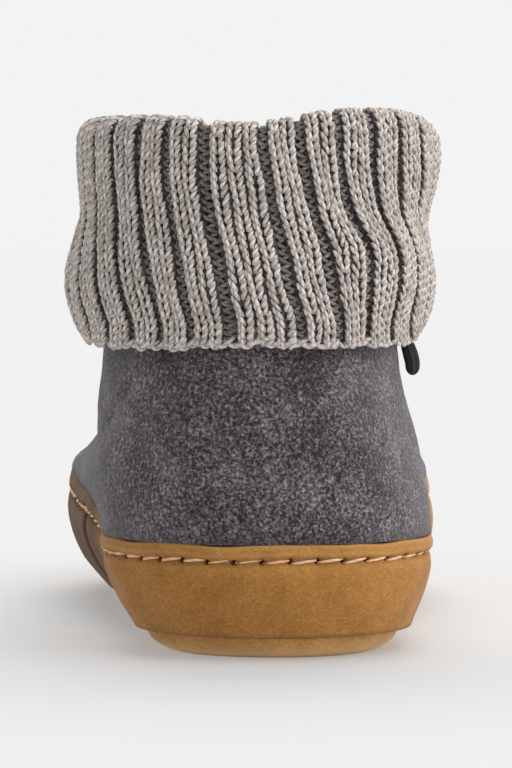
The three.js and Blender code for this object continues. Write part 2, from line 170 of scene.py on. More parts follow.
@dataclass(frozen=True)
class Form:
    """The felt's outer face as a field: a heel and shaft joined smoothly with a forepart."""

    length: float = 262.0
    ball_width: float = 96.6
    heel_width: float = 80.4
    shaft_width: float = 71.0
    shaft_length: float = 101.0
    instep_height: float = 77.0
    ball_height: float = 44.0
    collar_height: float = 89.0
    rim_height: float = 27.7
    rim_rise: float = 7.0
    rise_starts: float = 0.22
    rise_ends: float = 0.68
    insole_top: float = 11.6
    toe_spring: float = 7.0
    toe_starts: float = 0.77
    toe_share: float = 0.23
    arch_lift: float = 1.5
    arch_starts: float = 0.29
    arch_share: float = 0.24
    throat_blend: float = 14.0
    toe_round_starts: float = 0.73
    toe_round_power: float = 1.95
    rear_starts: float = 0.32
    rear_ends: float = 0.1
    toe_centre: float = 0.535
    oval_power: float = 2.15
    forepart: Table = Table(
        "along sideways width height",
        (0.0, 0.0, 0.5, 1.05),
        (0.2, -0.01, 0.62, 1.05),
        (0.38, -0.033, 0.83, 0.98),
        (0.49, -0.031, 0.91, 0.74),
        (0.57, -0.031, 0.966, 0.36),
        (0.67, -0.039, 1.0, 0.02),
        (0.76, -0.049, 0.99, -0.06),
        (0.86, -0.06, 0.958, -0.06),
        (1.0, -0.08, 0.933, -0.06),
    )
    shaft: Table = Table(
        "level back widest front width sideways",
        (0.0, 0.0, 0.43, 1.2, 0.0, 0.014),
        (0.308, 0.0, 0.43, 1.2, 0.0, 0.014),
        (0.436, 0.008, 0.44, 1.17, -0.08, -0.004),
        (0.565, 0.024, 0.46, 1.13, 0.24, -0.018),
        (0.664, 0.045, 0.48, 1.11, 0.51, -0.034),
        (0.773, 0.066, 0.51, 1.095, 0.82, -0.041),
        (0.901, 0.088, 0.54, 1.09, 0.98, -0.042),
        (1.0, 0.095, 0.55, 1.095, 1.0, -0.042),
    )

    def lift(self, y: Array) -> Array:
        """How far the shoe is bent up at y: a sine hump at the arch and a parabola at the toe."""
        arch = np.clip((y / self.length - self.arch_starts) / self.arch_share, 0.0, 1.0)
        toe = np.maximum(0.0, (y / self.length - self.toe_starts) / self.toe_share)
        return self.arch_lift * np.sin(math.pi * arch) ** 2 + self.toe_spring * toe**2

    def finish_height(self, p: Array) -> Array:
        """Raises points from the unbent form to the finished shoe.

        Args:
            p: Points of the unbent form, xyz on the last axis.

        Returns:
            The same points with the rim's rise towards the ball and the lift added to z.
        """
        y, z = p[..., 1], p[..., 2]
        rise = self.rim_rise * smooth(y / self.length, self.rise_starts, self.rise_ends)
        below = (z - self.insole_top) / (self.rim_height - self.insole_top)
        above = (self.collar_height - z) / (self.collar_height - self.rim_height)
        raised = z + rise * np.clip(np.minimum(below, above), 0.0, 1.0) + self.lift(y)
        return np.stack([p[..., 0], y, raised], axis=-1)

    def value(self, x: Array, y: Array, z: Array) -> Array:
        """The field: about the distance in millimetres outside the surface.

        The shaft is a superellipse in each level whose reaches come from the shaft table. The forepart is one
        whose width, crown and toe terms share a power. The two are joined by a smooth minimum.

        Args:
            x: Sideways places.
            y: Places along the shoe.
            z: Levels before the bend.

        Returns:
            Negative values inside and positive ones outside.
        """
        level = z / self.collar_height
        places = ("back", "widest", "front")
        back, widest, front = (self.shaft_length * self.shaft.read(name, level) for name in places)
        side = mix(self.heel_width, self.shaft_width, self.shaft.read("width", level)) / 2
        middle = self.shaft_width * self.shaft.read("sideways", level)
        reach = np.where(y < widest, widest - back, front - widest)
        across = np.abs(x - middle) / side
        round_power = self.oval_power
        oval = (across**round_power + (np.abs(y - widest) / reach) ** round_power) ** (1 / round_power)
        shaft = (oval - 1.0) * side

        along = y / self.length
        half = self.ball_width * self.forepart.read("width", along) / 2
        line = self.ball_width * self.forepart.read("sideways", along)
        top = mix(self.ball_height, self.instep_height, self.forepart.read("height", along))
        crown = top - self.rim_height
        toe = np.maximum(0.0, (along - self.toe_round_starts) / (1.0 - self.toe_round_starts))
        rear = np.maximum(0.0, (self.rear_starts - along) / (self.rear_starts - self.rear_ends))
        above = np.maximum(0.0, z - self.rim_height)
        power = self.toe_round_power
        terms = (np.abs(x - line) / half) ** power + (above / crown) ** power + toe**power + rear**power
        forepart = (terms ** (1.0 / power) - 1.0) * half

        near = np.maximum(self.throat_blend - np.abs(shaft - forepart), 0.0) / self.throat_blend
        return np.minimum(shaft, forepart) - near * near * self.throat_blend / 4.0

    def reach(self, x: Array, y: Array, z: Array, dx: Array, dy: Array) -> Array:
        """Distance from points inside to the surface along level directions, by halving.

        Args:
            x: Starting places across.
            y: Starting places along.
            z: Levels.
            dx: Directions across.
            dy: Directions along.

        Returns:
            The distances.
        """
        shape = np.broadcast(x, y, z, dx, dy).shape
        inside, outside = np.zeros(shape), np.full(shape, self.length)
        for _ in range(HALVINGS):
            middle = (inside + outside) / 2.0
            is_in = self.value(x + dx * middle, y + dy * middle, np.broadcast_to(z, shape)) < 0.0
            inside, outside = np.where(is_in, middle, inside), np.where(is_in, outside, middle)
        return inside

    def spine(self, z: Array, turn: Array) -> tuple[Array, Array]:
        """The point of the foot's middle line that a turn is seen from.

        Args:
            z: Levels.
            turn: Turns in radians from the outer side over the toe.

        Returns:
            Its x and y.
        """
        level = z / self.collar_height
        heel_x = self.shaft_width * self.shaft.read("sideways", level)
        heel_y = self.shaft_length * self.shaft.read("widest", level)
        tip = heel_y + self.reach(heel_x, heel_y, z, 0.0, 1.0)
        front_y = np.maximum(heel_y, tip - self.ball_width * self.toe_centre)
        front_x = self.ball_width * self.forepart.read("sideways", front_y / self.length)
        share = (1.0 + np.sin(turn)) / 2.0
        return mix(heel_x, front_x, share), mix(heel_y, front_y, share)

    def normal(self, p: Array) -> Array:
        """The field's direction of growth, by central differences."""
        step = 0.05
        parts = []
        for axis in range(3):
            shift = np.zeros(3)
            shift[axis] = step
            ahead, behind = p + shift, p - shift
            parts.append(
                self.value(ahead[..., 0], ahead[..., 1], ahead[..., 2])
                - self.value(behind[..., 0], behind[..., 1], behind[..., 2])
            )
        return unit(np.stack(parts, axis=-1))

    def ring(self, z: Array, turn: Array) -> tuple[Array, Array]:
        """Points of the form for levels and turns: where a level ray from the spine meets the field's zero.

        Args:
            z: Levels, in a shape that broadcasts with turn.
            turn: Turns in radians.

        Returns:
            The points and the outward normals there.
        """
        z, turn = np.broadcast_arrays(np.asarray(z, dtype=float), np.asarray(turn, dtype=float))
        x, y = self.spine(z, turn)
        dx, dy = np.cos(turn), np.sin(turn)
        reach = self.reach(x, y, z, dx, dy)
        p = np.stack([x + dx * reach, y + dy * reach, z], axis=-1)
        return p, self.normal(p)


FORM = Form()


def even_turns(count: int, z: float, first: float = -math.pi / 2) -> Array:
    """Turns whose points lie at even distances along the form's outline at a level.

    Args:
        count: How many turns.
        z: The level.
        first: The turn that the first one has.

    Returns:
        The turns in radians, rising from first.
    """
    fine = first + np.linspace(0.0, TAU, 2049)
    p, _ = FORM.ring(z, fine)
    steps = np.linalg.norm(np.diff(p[:, :2], axis=0), axis=1)
    along = np.concatenate([[0.0], np.cumsum(steps)])
    return np.interp(np.linspace(0.0, along[-1], count, endpoint=False), along, fine)


# Meshes from grids


class Placement:
    """Carries shoe millimetres to the part's metres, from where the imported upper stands."""

    def __init__(self) -> None:
        """Matches the middle of the form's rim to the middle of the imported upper's box."""
        rim, _ = FORM.ring(FORM.rim_height, np.linspace(0.0, TAU, 721))
        low, high = (np.array(corner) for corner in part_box("upper"))
        middle = (rim.min(axis=0) + rim.max(axis=0)) / 2.0
        self.shift = (low + high) / 2.0 / MM - middle
        self.shift[2] = 0.0

    def metres(self, p: Array) -> Array:
        """Points in metres in the part's frame."""
        return (p + self.shift) * MM


def mesh_object(
    name: str, place: Placement, verts: Array, faces: Array, uv: Array | None = None
) -> bpy.types.Object:
    """Makes a smooth-shaded object of triangles or quads, all of one kind.

    Args:
        name: The object's name.
        place: Where the shoe stands.
        verts: Points in millimetres, n by 3.
        faces: Corner numbers, m by 3 or m by 4.
        uv: Texture places for each face corner, m by 3 or 4 by 2.

    Returns:
        The object, linked to the scene.
    """
    mesh = bpy.data.meshes.new(name)
    sides = faces.shape[1]
    mesh.vertices.add(len(verts))
    mesh.vertices.foreach_set("co", place.metres(verts).astype(np.float32).ravel())
    mesh.loops.add(faces.size)
    mesh.loops.foreach_set("vertex_index", faces.astype(np.int32).ravel())
    mesh.polygons.add(len(faces))
    mesh.polygons.foreach_set("loop_start", np.arange(0, faces.size, sides, dtype=np.int32))
    mesh.update(calc_edges=True)
    if uv is not None:
        layer = mesh.uv_layers.new(name="UVMap")
        layer.data.foreach_set("uv", uv.astype(np.float32).ravel())
    mesh.shade_smooth()
    mesh.validate()
    thing = bpy.data.objects.new(name, mesh)
    bpy.context.scene.collection.objects.link(thing)
    return thing


def paint(thing: bpy.types.Object, name: str, values: Array) -> None:
    """Writes one number per point as an attribute that materials read.

    Args:
        thing: The object.
        name: The attribute's name.
        values: A value for each point.
    """
    layer = thing.data.attributes.new(name=name, type="FLOAT", domain="POINT")
    layer.data.foreach_set("value", np.ascontiguousarray(values, dtype=np.float32).ravel())


def grid_faces(rows: int, columns: int, loop_rows: bool) -> tuple[Array, Array]:
    """Quads between neighbouring rows of rings, whose columns always close.

    Args:
        rows: Number of rings.
        columns: Points in each ring.
        loop_rows: Whether the last ring joins the first.

    Returns:
        The quads, and each corner's row and column counted on past the seams.
    """
    r, c = np.meshgrid(np.arange(rows if loop_rows else rows - 1), np.arange(columns), indexing="ij")
    corners = [(r, c), (r, c + 1), (r + 1, c + 1), (r + 1, c)]
    faces = np.stack([(a % rows) * columns + b % columns for a, b in corners], axis=-1).reshape(-1, 4)
    counted = np.stack([np.stack(corner, axis=-1) for corner in corners], axis=2).reshape(-1, 4, 2)
    return faces, counted


def skin(
    name: str, place: Placement, rings: Array, loop_rows: bool, unit_mm: tuple[float, float]
) -> bpy.types.Object:
    """Joins rings of points into a closed shell, with a texture map in even steps of rows and columns.

    Args:
        name: The object's name.
        place: Where the shoe stands.
        rings: Rows by columns by 3, in millimetres.
        loop_rows: Whether the last ring joins the first; otherwise the end rings must have closed on a line.
        unit_mm: Length in millimetres of a row step and of a column step, for the map.

    Returns:
        The object.
    """
    rows, columns = rings.shape[:2]
    faces, counted = grid_faces(rows, columns, loop_rows)
    uv = counted[..., ::-1] * np.array([unit_mm[1], unit_mm[0]])
    return mesh_object(name, place, rings.reshape(-1, 3), faces, uv)


def pair(u: Array, v: Array) -> Array:
    """Puts two arrays side by side as places in a map."""
    return np.stack([u, v], -1)


def sweep(
    centres: Array, outward: Array, radii: Array, sides: int, flat: float
) -> tuple[Array, Array, Array]:
    """Beads of yarn: round sections carried along many short centre lines at once, closed by end points.

    A section is an ellipse of radius r across and r times flat outward, in the plane across the line.

    Args:
        centres: Beads by steps by 3.
        outward: Beads by steps by 3, the surface's normals.
        radii: Beads by steps.
        sides: Points in each section.
        flat: Height of the section as a share of its width.

    Returns:
        Points, triangles and the texture places of the triangles' corners, u round and v along.
    """
    beads, steps = radii.shape
    along = unit(np.gradient(centres, axis=1))
    across = unit(np.cross(along, outward))
    up = np.cross(across, along)
    angle = np.arange(sides) * TAU / sides
    around = across[:, :, None] * np.cos(angle)[:, None] + up[:, :, None] * (flat * np.sin(angle)[:, None])
    tube = centres[:, :, None] + around * radii[:, :, None, None]
    first_end = centres[:, 0] - along[:, 0] * radii[:, :1] * BEAD_TIP
    last_end = centres[:, -1] + along[:, -1] * radii[:, -1:] * BEAD_TIP
    ends = np.stack([first_end, last_end], 1)
    verts = np.concatenate([tube.reshape(beads, -1, 3), ends], axis=1)

    s = np.arange(sides)
    k = np.arange(steps - 1)[:, None]
    a, b = k * sides + s, k * sides + (s + 1) % sides
    c, d = a + sides, b + sides
    walls = np.concatenate([np.stack(corners, -1).reshape(-1, 3) for corners in ((a, c, b), (b, c, d))])
    first, last = steps * sides, steps * sides + 1
    top = (steps - 1) * sides
    start = np.stack([s, (s + 1) % sides, np.full(sides, first)], -1)
    end = np.stack([top + (s + 1) % sides, top + s, np.full(sides, last)], -1)
    faces = np.concatenate([walls, start, end])

    u0, u1 = np.broadcast_to(s / sides, a.shape), np.broadcast_to((s + 1) / sides, a.shape)
    v0, v1 = np.broadcast_to(k / (steps - 1), a.shape), np.broadcast_to((k + 1) / (steps - 1), a.shape)
    tri_a = np.stack([pair(u0, v0), pair(u0, v1), pair(u1, v0)], 2).reshape(-1, 3, 2)
    tri_b = np.stack([pair(u1, v0), pair(u0, v1), pair(u1, v1)], 2).reshape(-1, 3, 2)
    ring0, ring1 = s / sides, (s + 1) / sides
    zero, one = np.zeros(sides), np.ones(sides)
    cap_a = np.stack([pair(ring0, zero), pair(ring1, zero), pair(ring0, zero)], 1)
    cap_b = np.stack([pair(ring1, one), pair(ring0, one), pair(ring0, one)], 1)
    uv = np.concatenate([tri_a, tri_b, cap_a, cap_b])

    count = verts.shape[1]
    all_faces = (faces[None] + (np.arange(beads) * count)[:, None, None]).reshape(-1, 3)
    return verts.reshape(-1, 3), all_faces, np.tile(uv, (beads, 1, 1))


# Materials


class Sheet:
    """A node tree that is being filled in."""

    def __init__(self, tree: bpy.types.NodeTree) -> None:
        """Keeps the tree."""
        self.tree = tree

    def node(self, kind: str, inputs: dict | None = None, **settings: object) -> bpy.types.Node:
        """Adds a node, sets its properties and sets or links its inputs.

        Args:
            kind: Blender's class name of the node.
            inputs: Input names or numbers, each with a value or with the output socket to link from.
            settings: Properties of the node.

        Returns:
            The node.
        """
        made = self.tree.nodes.new(kind)
        for key, value in settings.items():
            setattr(made, key, value)
        for key, value in (inputs or {}).items():
            if isinstance(value, bpy.types.NodeSocket):
                self.tree.links.new(value, made.inputs[key])
            else:
                made.inputs[key].default_value = value
        return made

    def maths(self, operation: str, a: object, b: object = 0.0) -> bpy.types.NodeSocket:
        """One sum of two numbers or sockets, as an output socket."""
        return self.node("ShaderNodeMath", {0: a, 1: b}, operation=operation).outputs[0]

    def times(self, a: object, b: object) -> bpy.types.NodeSocket:
        """A product."""
        return self.maths("MULTIPLY", a, b)

    def plus(self, a: object, b: object) -> bpy.types.NodeSocket:
        """A sum."""
        return self.maths("ADD", a, b)

    def blend(self, share: object, a: object, b: object) -> bpy.types.NodeSocket:
        """Mixes two colours by a share, as an output socket."""
        made = self.node("ShaderNodeMix", {0: share, 6: a, 7: b}, data_type="RGBA", blend_type="MIX")
        return made.outputs[2]

    def spread(self, value: object, middle: float, factor: float) -> bpy.types.NodeSocket:
        """How far a value lies over a middle, times a factor."""
        return self.times(self.maths("SUBTRACT", value, middle), factor)

    def give(self, out: bpy.types.Node, colour: object, height: object) -> None:
        """Links a group's two outputs."""
        self.tree.links.new(colour, out.inputs["Color"])
        self.tree.links.new(height, out.inputs["Height"])

    def attribute(self, name: str) -> bpy.types.NodeSocket:
        """A painted attribute's number."""
        return self.node("ShaderNodeAttribute", attribute_name=name).outputs["Fac"]

    def ramp(self, value: object, low: float, high: float) -> bpy.types.NodeSocket:
        """Rises smoothly from 0 at low to 1 at high."""
        inputs = {"Value": value, "From Min": low, "From Max": high}
        return self.node("ShaderNodeMapRange", inputs, interpolation_type="SMOOTHSTEP").outputs["Result"]

    def noise(self, vector: object, cells: float, detail: float, rough: float) -> bpy.types.NodeSocket:
        """Perlin noise with so many cells in a metre, as its value."""
        inputs = {"Vector": vector, "Scale": cells, "Detail": detail, "Roughness": rough}
        return self.node("ShaderNodeTexNoise", inputs).outputs[0]

    def stretch(self, vector: object, scale: Sequence[float], turn: Sequence[float]) -> bpy.types.NodeSocket:
        """Turned and stretched coordinates for patterns that run one way."""
        inputs = {"Vector": vector, "Scale": tuple(scale), "Rotation": tuple(turn)}
        return self.node("ShaderNodeMapping", inputs).outputs[0]


def new_group(
    name: str, inputs: dict[str, object]
) -> tuple[bpy.types.NodeTree, Sheet, dict, bpy.types.Node]:
    """Starts a shader node group with named inputs, and with Color and Height out.

    Args:
        name: The group's name.
        inputs: Names with default values; a number makes a float, four numbers a colour, three a vector.

    Returns:
        The group, its sheet, its input sockets by name, and its output node.
    """
    group = bpy.data.node_groups.new(name, "ShaderNodeTree")
    kinds = {3: "NodeSocketVector", 4: "NodeSocketColor"}
    for key, value in inputs.items():
        kind = kinds[len(value)] if isinstance(value, tuple) else "NodeSocketFloat"
        group.interface.new_socket(key, in_out="INPUT", socket_type=kind).default_value = value
    for key, kind in (("Color", "NodeSocketColor"), ("Height", "NodeSocketFloat")):
        group.interface.new_socket(key, in_out="OUTPUT", socket_type=kind)
    sheet = Sheet(group)
    given = sheet.node("NodeGroupInput")
    return group, sheet, {socket.name: socket for socket in given.outputs}, sheet.node("NodeGroupOutput")


def srgb(red: int, green: int, blue: int) -> Rgba:
    """A colour as seen on a screen, 0 to 255, turned to the linear light that shaders take."""
    channels = [c / 255.0 for c in (red, green, blue)]
    linear = [c / 12.92 if c <= 0.04045 else ((c + 0.055) / 1.055) ** 2.4 for c in channels]
    return (linear[0], linear[1], linear[2], 1.0)


ORIGIN = (0.0, 0.0, 0.0)
PLAIN = (0.5, 0.5, 0.5, 1.0)
STRAND_WAYS = (
    ((0.3, 0.5, 0.2), (2.6, 0.55, 2.6)),
    ((0.9, -0.4, 1.3), (0.5, 2.4, 2.5)),
    ((-0.5, 1.1, 2.2), (2.5, 2.4, 0.6)),
)


def fibre_group() -> bpy.types.NodeTree:
    """Builds the matted wool effect: grains and short fibres in three directions over soft mottling.

    Each direction is noise stretched along a line and the three take the highest value; grains and mottling
    shift it.

    Returns:
        The group, with Vector, Fineness and three colours in, and Color and Height out.
    """
    inputs = {"Vector": ORIGIN, "Fineness": 1.0, "Dark": PLAIN, "Middle": PLAIN, "Light": PLAIN}
    group, sheet, given, out = new_group("matted_fibres", inputs)
    fine = {0: given["Vector"], 3: given["Fineness"]}
    place = sheet.node("ShaderNodeVectorMath", fine, operation="SCALE").outputs[0]
    warp = sheet.node("ShaderNodeTexNoise", {"Vector": place, "Scale": 260.0, "Detail": 1.0}).outputs[1]
    wander = {0: warp, 1: (0.002, 0.002, 0.002), 2: place}
    bent = sheet.node("ShaderNodeVectorMath", wander, operation="MULTIPLY_ADD").outputs[0]
    strands = None
    for turn, scale in STRAND_WAYS:
        line = sheet.noise(sheet.stretch(bent, scale, turn), cells=760.0, detail=2.0, rough=0.65)
        strands = line if strands is None else sheet.maths("MAXIMUM", strands, line)
    grains = sheet.noise(place, cells=1250.0, detail=3.0, rough=0.75)
    patches = sheet.noise(place, cells=85.0, detail=3.0, rough=0.6)
    tone = sheet.spread(strands, middle=0.57, factor=0.8)
    tone = sheet.plus(tone, sheet.spread(grains, middle=0.29, factor=2.2))
    tone = sheet.plus(tone, sheet.spread(patches, middle=0.5, factor=0.6))
    dark = sheet.blend(sheet.ramp(tone, low=0.19, high=0.59), given["Dark"], given["Middle"])
    colour = sheet.blend(sheet.ramp(tone, low=0.47, high=1.05), dark, given["Light"])
    sheet.give(out, colour, tone)
    return group


def nap_group() -> bpy.types.NodeTree:
    """Builds the suede effect: a fine nap with pale flecks, soft darker patches and a slight pile direction.

    Returns:
        The group, with Vector and three colours in, and Color and Height out.
    """
    inputs = {"Vector": ORIGIN, "Base": PLAIN, "Shade": PLAIN, "Fleck": PLAIN}
    group, sheet, given, out = new_group("suede_nap", inputs)
    grain = sheet.noise(given["Vector"], cells=1900.0, detail=3.0, rough=0.75)
    brushed = sheet.stretch(given["Vector"], (1.0, 1.0, 1.8), (0.2, 0.1, 0.3))
    pile = sheet.noise(brushed, cells=850.0, detail=3.0, rough=0.7)
    patches = sheet.noise(given["Vector"], cells=105.0, detail=4.0, rough=0.65)
    tone = sheet.plus(sheet.times(grain, 0.5), sheet.times(pile, 0.5))
    worn = sheet.times(sheet.ramp(patches, low=0.6, high=0.35), 0.4)
    base = sheet.blend(worn, given["Base"], given["Shade"])
    base = sheet.blend(sheet.times(sheet.ramp(tone, low=0.53, high=0.36), 0.6), base, given["Shade"])
    colour = sheet.blend(sheet.times(sheet.ramp(tone, low=0.5, high=0.7), 0.4), base, given["Fleck"])
    sheet.give(out, colour, tone)
    return group


def ply_group() -> bpy.types.NodeTree:
    """Builds the twisted yarn effect on a bead's own map: plies as slanted stripes, loose fibres and flecks.

    Returns:
        The group, with Vector, UV, Plies, Twist and two colours in, and Color and Height out.
    """
    inputs = {"Vector": ORIGIN, "UV": ORIGIN, "Plies": 2.0, "Twist": 2.0, "Light": PLAIN, "Shade": PLAIN}
    group, sheet, given, out = new_group("twisted_ply", inputs)
    split = sheet.node("ShaderNodeSeparateXYZ", {0: given["UV"]})
    around = sheet.times(split.outputs[0], given["Plies"])
    along = sheet.times(split.outputs[1], given["Twist"])
    wave = sheet.maths("SINE", sheet.times(sheet.plus(around, along), TAU))
    ply = sheet.node("ShaderNodeMath", {0: wave, 1: 0.5, 2: 0.5}, operation="MULTIPLY_ADD").outputs[0]
    fibre = sheet.noise(given["Vector"], cells=2600.0, detail=2.0, rough=0.65)
    flecks = sheet.noise(given["Vector"], cells=420.0, detail=2.0, rough=0.6)
    tone = sheet.plus(sheet.times(ply, 0.45), sheet.times(fibre, 0.75))
    colour = sheet.blend(sheet.ramp(tone, low=0.2, high=0.72), given["Shade"], given["Light"])
    colour = sheet.blend(sheet.times(sheet.ramp(flecks, low=0.5, high=0.34), 0.35), colour, given["Shade"])
    sheet.give(out, colour, tone)
    return group


class Effects:
    """The node groups that the finishes share, each built once."""

    def __init__(self) -> None:
        """Builds the groups."""
        self.fibres = fibre_group()
        self.nap = nap_group()
        self.ply = ply_group()


@dataclass(frozen=True)
class Gloss:
    """Constant numbers of a finish's shader: how it shines, and how its fuzz catches light from the side."""

    roughness: float = 0.9
    specular: float = 0.2
    sheen: float = 0.0
    sheen_roughness: float = 0.5
    sheen_tint: Rgba = (1.0, 1.0, 1.0, 1.0)
    bump: float = 0.5
    bump_mm: float = 0.2


def start_material(name: str) -> tuple[bpy.types.Material, Sheet]:
    """An empty material with its sheet."""
    material = bpy.data.materials.new(name)
    material.use_nodes = True
    material.node_tree.nodes.clear()
    return material, Sheet(material.node_tree)


def finish_material(sheet: Sheet, gloss: Gloss, colour: object, height: object = None) -> None:
    """Adds the shader and the output to a material.

    Args:
        sheet: The material's sheet.
        gloss: The shader's constant numbers.
        colour: A colour socket or value.
        height: A height socket for the bump, or None.
    """
    inputs = {
        "Base Color": colour,
        "Roughness": gloss.roughness,
        "Specular IOR Level": gloss.specular,
        "Sheen Weight": gloss.sheen,
        "Sheen Roughness": gloss.sheen_roughness,
        "Sheen Tint": gloss.sheen_tint,
    }
    if height is not None:
        bump = {"Height": height, "Strength": gloss.bump, "Distance": gloss.bump_mm * MM}
        inputs["Normal"] = sheet.node("ShaderNodeBump", bump).outputs[0]
    shader = sheet.node("ShaderNodeBsdfPrincipled", inputs)
    sheet.node("ShaderNodeOutputMaterial", {"Surface": shader.outputs[0]})


@dataclass(frozen=True)
class WoolFelt:
    """Boiled wool: matted, mottled, with a soft pale bloom seen from the side."""

    name: str
    dark: Rgba
    middle: Rgba
    light: Rgba
    fineness: float = 1.0
    gloss: Gloss = Gloss(0.95, 0.1, sheen=0.45, sheen_roughness=0.45, bump=0.8, bump_mm=0.4)

    def make(self, effects: Effects) -> bpy.types.Material:
        """Builds the material.

        Args:
            effects: The shared groups.

        Returns:
            The material.
        """
        material, sheet = start_material(self.name)
        place = sheet.node("ShaderNodeTexCoord").outputs["Object"]
        inputs = {"Vector": place, "Fineness": self.fineness}
        inputs |= {"Dark": self.dark, "Middle": self.middle, "Light": self.light}
        wool = sheet.node("ShaderNodeGroup", inputs, node_tree=effects.fibres)
        # The attribute shade paints shade: it pulls the colour to the dark one.
        colour = sheet.blend(sheet.attribute("shade"), wool.outputs["Color"], self.dark)
        finish_material(sheet, self.gloss, colour, wool.outputs["Height"])
        return material


@dataclass(frozen=True)
class Suede:
    """Napped leather, with painted shade in its folds, grooves and holes, and paler in bands."""

    name: str
    base: Rgba
    shade: Rgba
    fleck: Rgba
    # The dark that the painted shade goes to: in the awl holes, the grooves, the fold and on the inner side.
    hole: Rgba = srgb(46, 28, 14)
    gloss: Gloss = Gloss(0.92, 0.12, sheen=0.12, sheen_roughness=0.5, bump=0.7, bump_mm=0.18)

    def make(self, effects: Effects) -> bpy.types.Material:
        """Builds the material: the painted shade attribute darkens it and the pale band attribute lightens
        it.

        Args:
            effects: The shared groups.

        Returns:
            The material.
        """
        material, sheet = start_material(self.name)
        place = sheet.node("ShaderNodeTexCoord").outputs["Object"]
        inputs = {"Vector": place, "Base": self.base, "Shade": self.shade, "Fleck": self.fleck}
        nap = sheet.node("ShaderNodeGroup", inputs, node_tree=effects.nap)
        colour = sheet.blend(sheet.attribute("pale_band"), nap.outputs["Color"], self.fleck)
        # Painted shade: the attribute shade pulls the colour to the dark one.
        colour = sheet.blend(sheet.attribute("shade"), colour, self.hole)
        finish_material(sheet, self.gloss, colour, nap.outputs["Height"])
        return material


@dataclass(frozen=True)
class Yarn:
    """Twisted yarn on beads with a map of their own; the attribute tone shifts a bead's colour."""

    name: str
    light: Rgba
    shade: Rgba
    plies: float = 2.0
    twist: float = 2.0
    gloss: Gloss = Gloss(0.9, 0.15, sheen=0.3, sheen_roughness=0.5, bump=0.6, bump_mm=0.25)

    def make(self, effects: Effects) -> bpy.types.Material:
        """Builds the material.

        Args:
            effects: The shared groups.

        Returns:
            The material.
        """
        material, sheet = start_material(self.name)
        coords = sheet.node("ShaderNodeTexCoord").outputs
        inputs = {"Vector": coords["Object"], "UV": coords["UV"], "Plies": self.plies, "Twist": self.twist}
        inputs |= {"Light": self.light, "Shade": self.shade}
        ply = sheet.node("ShaderNodeGroup", inputs, node_tree=effects.ply)
        colour = sheet.blend(sheet.attribute("tone"), ply.outputs["Color"], self.shade)
        finish_material(sheet, self.gloss, colour, ply.outputs["Height"])
        return material


@dataclass(frozen=True)
class Ribbon:
    """Woven ribbon: fine crosswise ribs on the piece's own map, in millimetres, with a painted sheen on the
    raised threads.
    """

    name: str
    base: Rgba
    light: Rgba
    ribs_per_mm: float = 1.6
    warps_to_ribs: float = 1.7
    gloss: Gloss = Gloss(roughness=0.55, specular=0.4, sheen=0.15, bump=0.6, bump_mm=0.15)

    def make(self) -> bpy.types.Material:
        """Builds the material.

        Returns:
            The material.
        """
        material, sheet = start_material(self.name)
        uv = sheet.node("ShaderNodeTexCoord").outputs["UV"]
        split = sheet.node("ShaderNodeSeparateXYZ", {0: uv})
        weft = sheet.maths("SINE", sheet.times(split.outputs[1], self.ribs_per_mm * TAU))
        warp = sheet.maths("SINE", sheet.times(split.outputs[0], self.ribs_per_mm * self.warps_to_ribs * TAU))
        height = sheet.plus(weft, sheet.times(warp, 0.4))
        # Painted sheen: the raised threads go towards the light colour.
        raised = sheet.times(sheet.ramp(height, low=0.2, high=1.4), 0.5)
        colour = sheet.blend(raised, self.base, self.light)
        finish_material(sheet, self.gloss, colour, height)
        return material


@dataclass(frozen=True)
class Hair:
    """Single loose fibres, whose attribute shade goes from the dark colour to the light one."""

    name: str
    dark: Rgba
    light: Rgba
    gloss: Gloss = Gloss(roughness=0.9, specular=0.1)

    def make(self) -> bpy.types.Material:
        """Builds the material.

        Returns:
            The material.
        """
        material, sheet = start_material(self.name)
        finish_material(sheet, self.gloss, sheet.blend(sheet.attribute("shade"), self.dark, self.light))
        return material


class Slot(Enum):
    """The record's material slots."""

    SOLE = "sole_suede"
    CUP = "suede"
    INSOLE = "insole_felt"
    FELT = "felt"
    KNIT = "knit"
    TAB = "webbing"


class Seed(Enum):
    """Where each source of chance starts."""

    FELT_FIBRES = 11
    STITCHES = 31
    RIBS = 51
    LOWER_LEGS = 61
    UPPER_LEGS = 62
    INSIDE_LEGS = 63
    PURLS = 71
    HEM = 81
    KNIT_FIBRES = 91


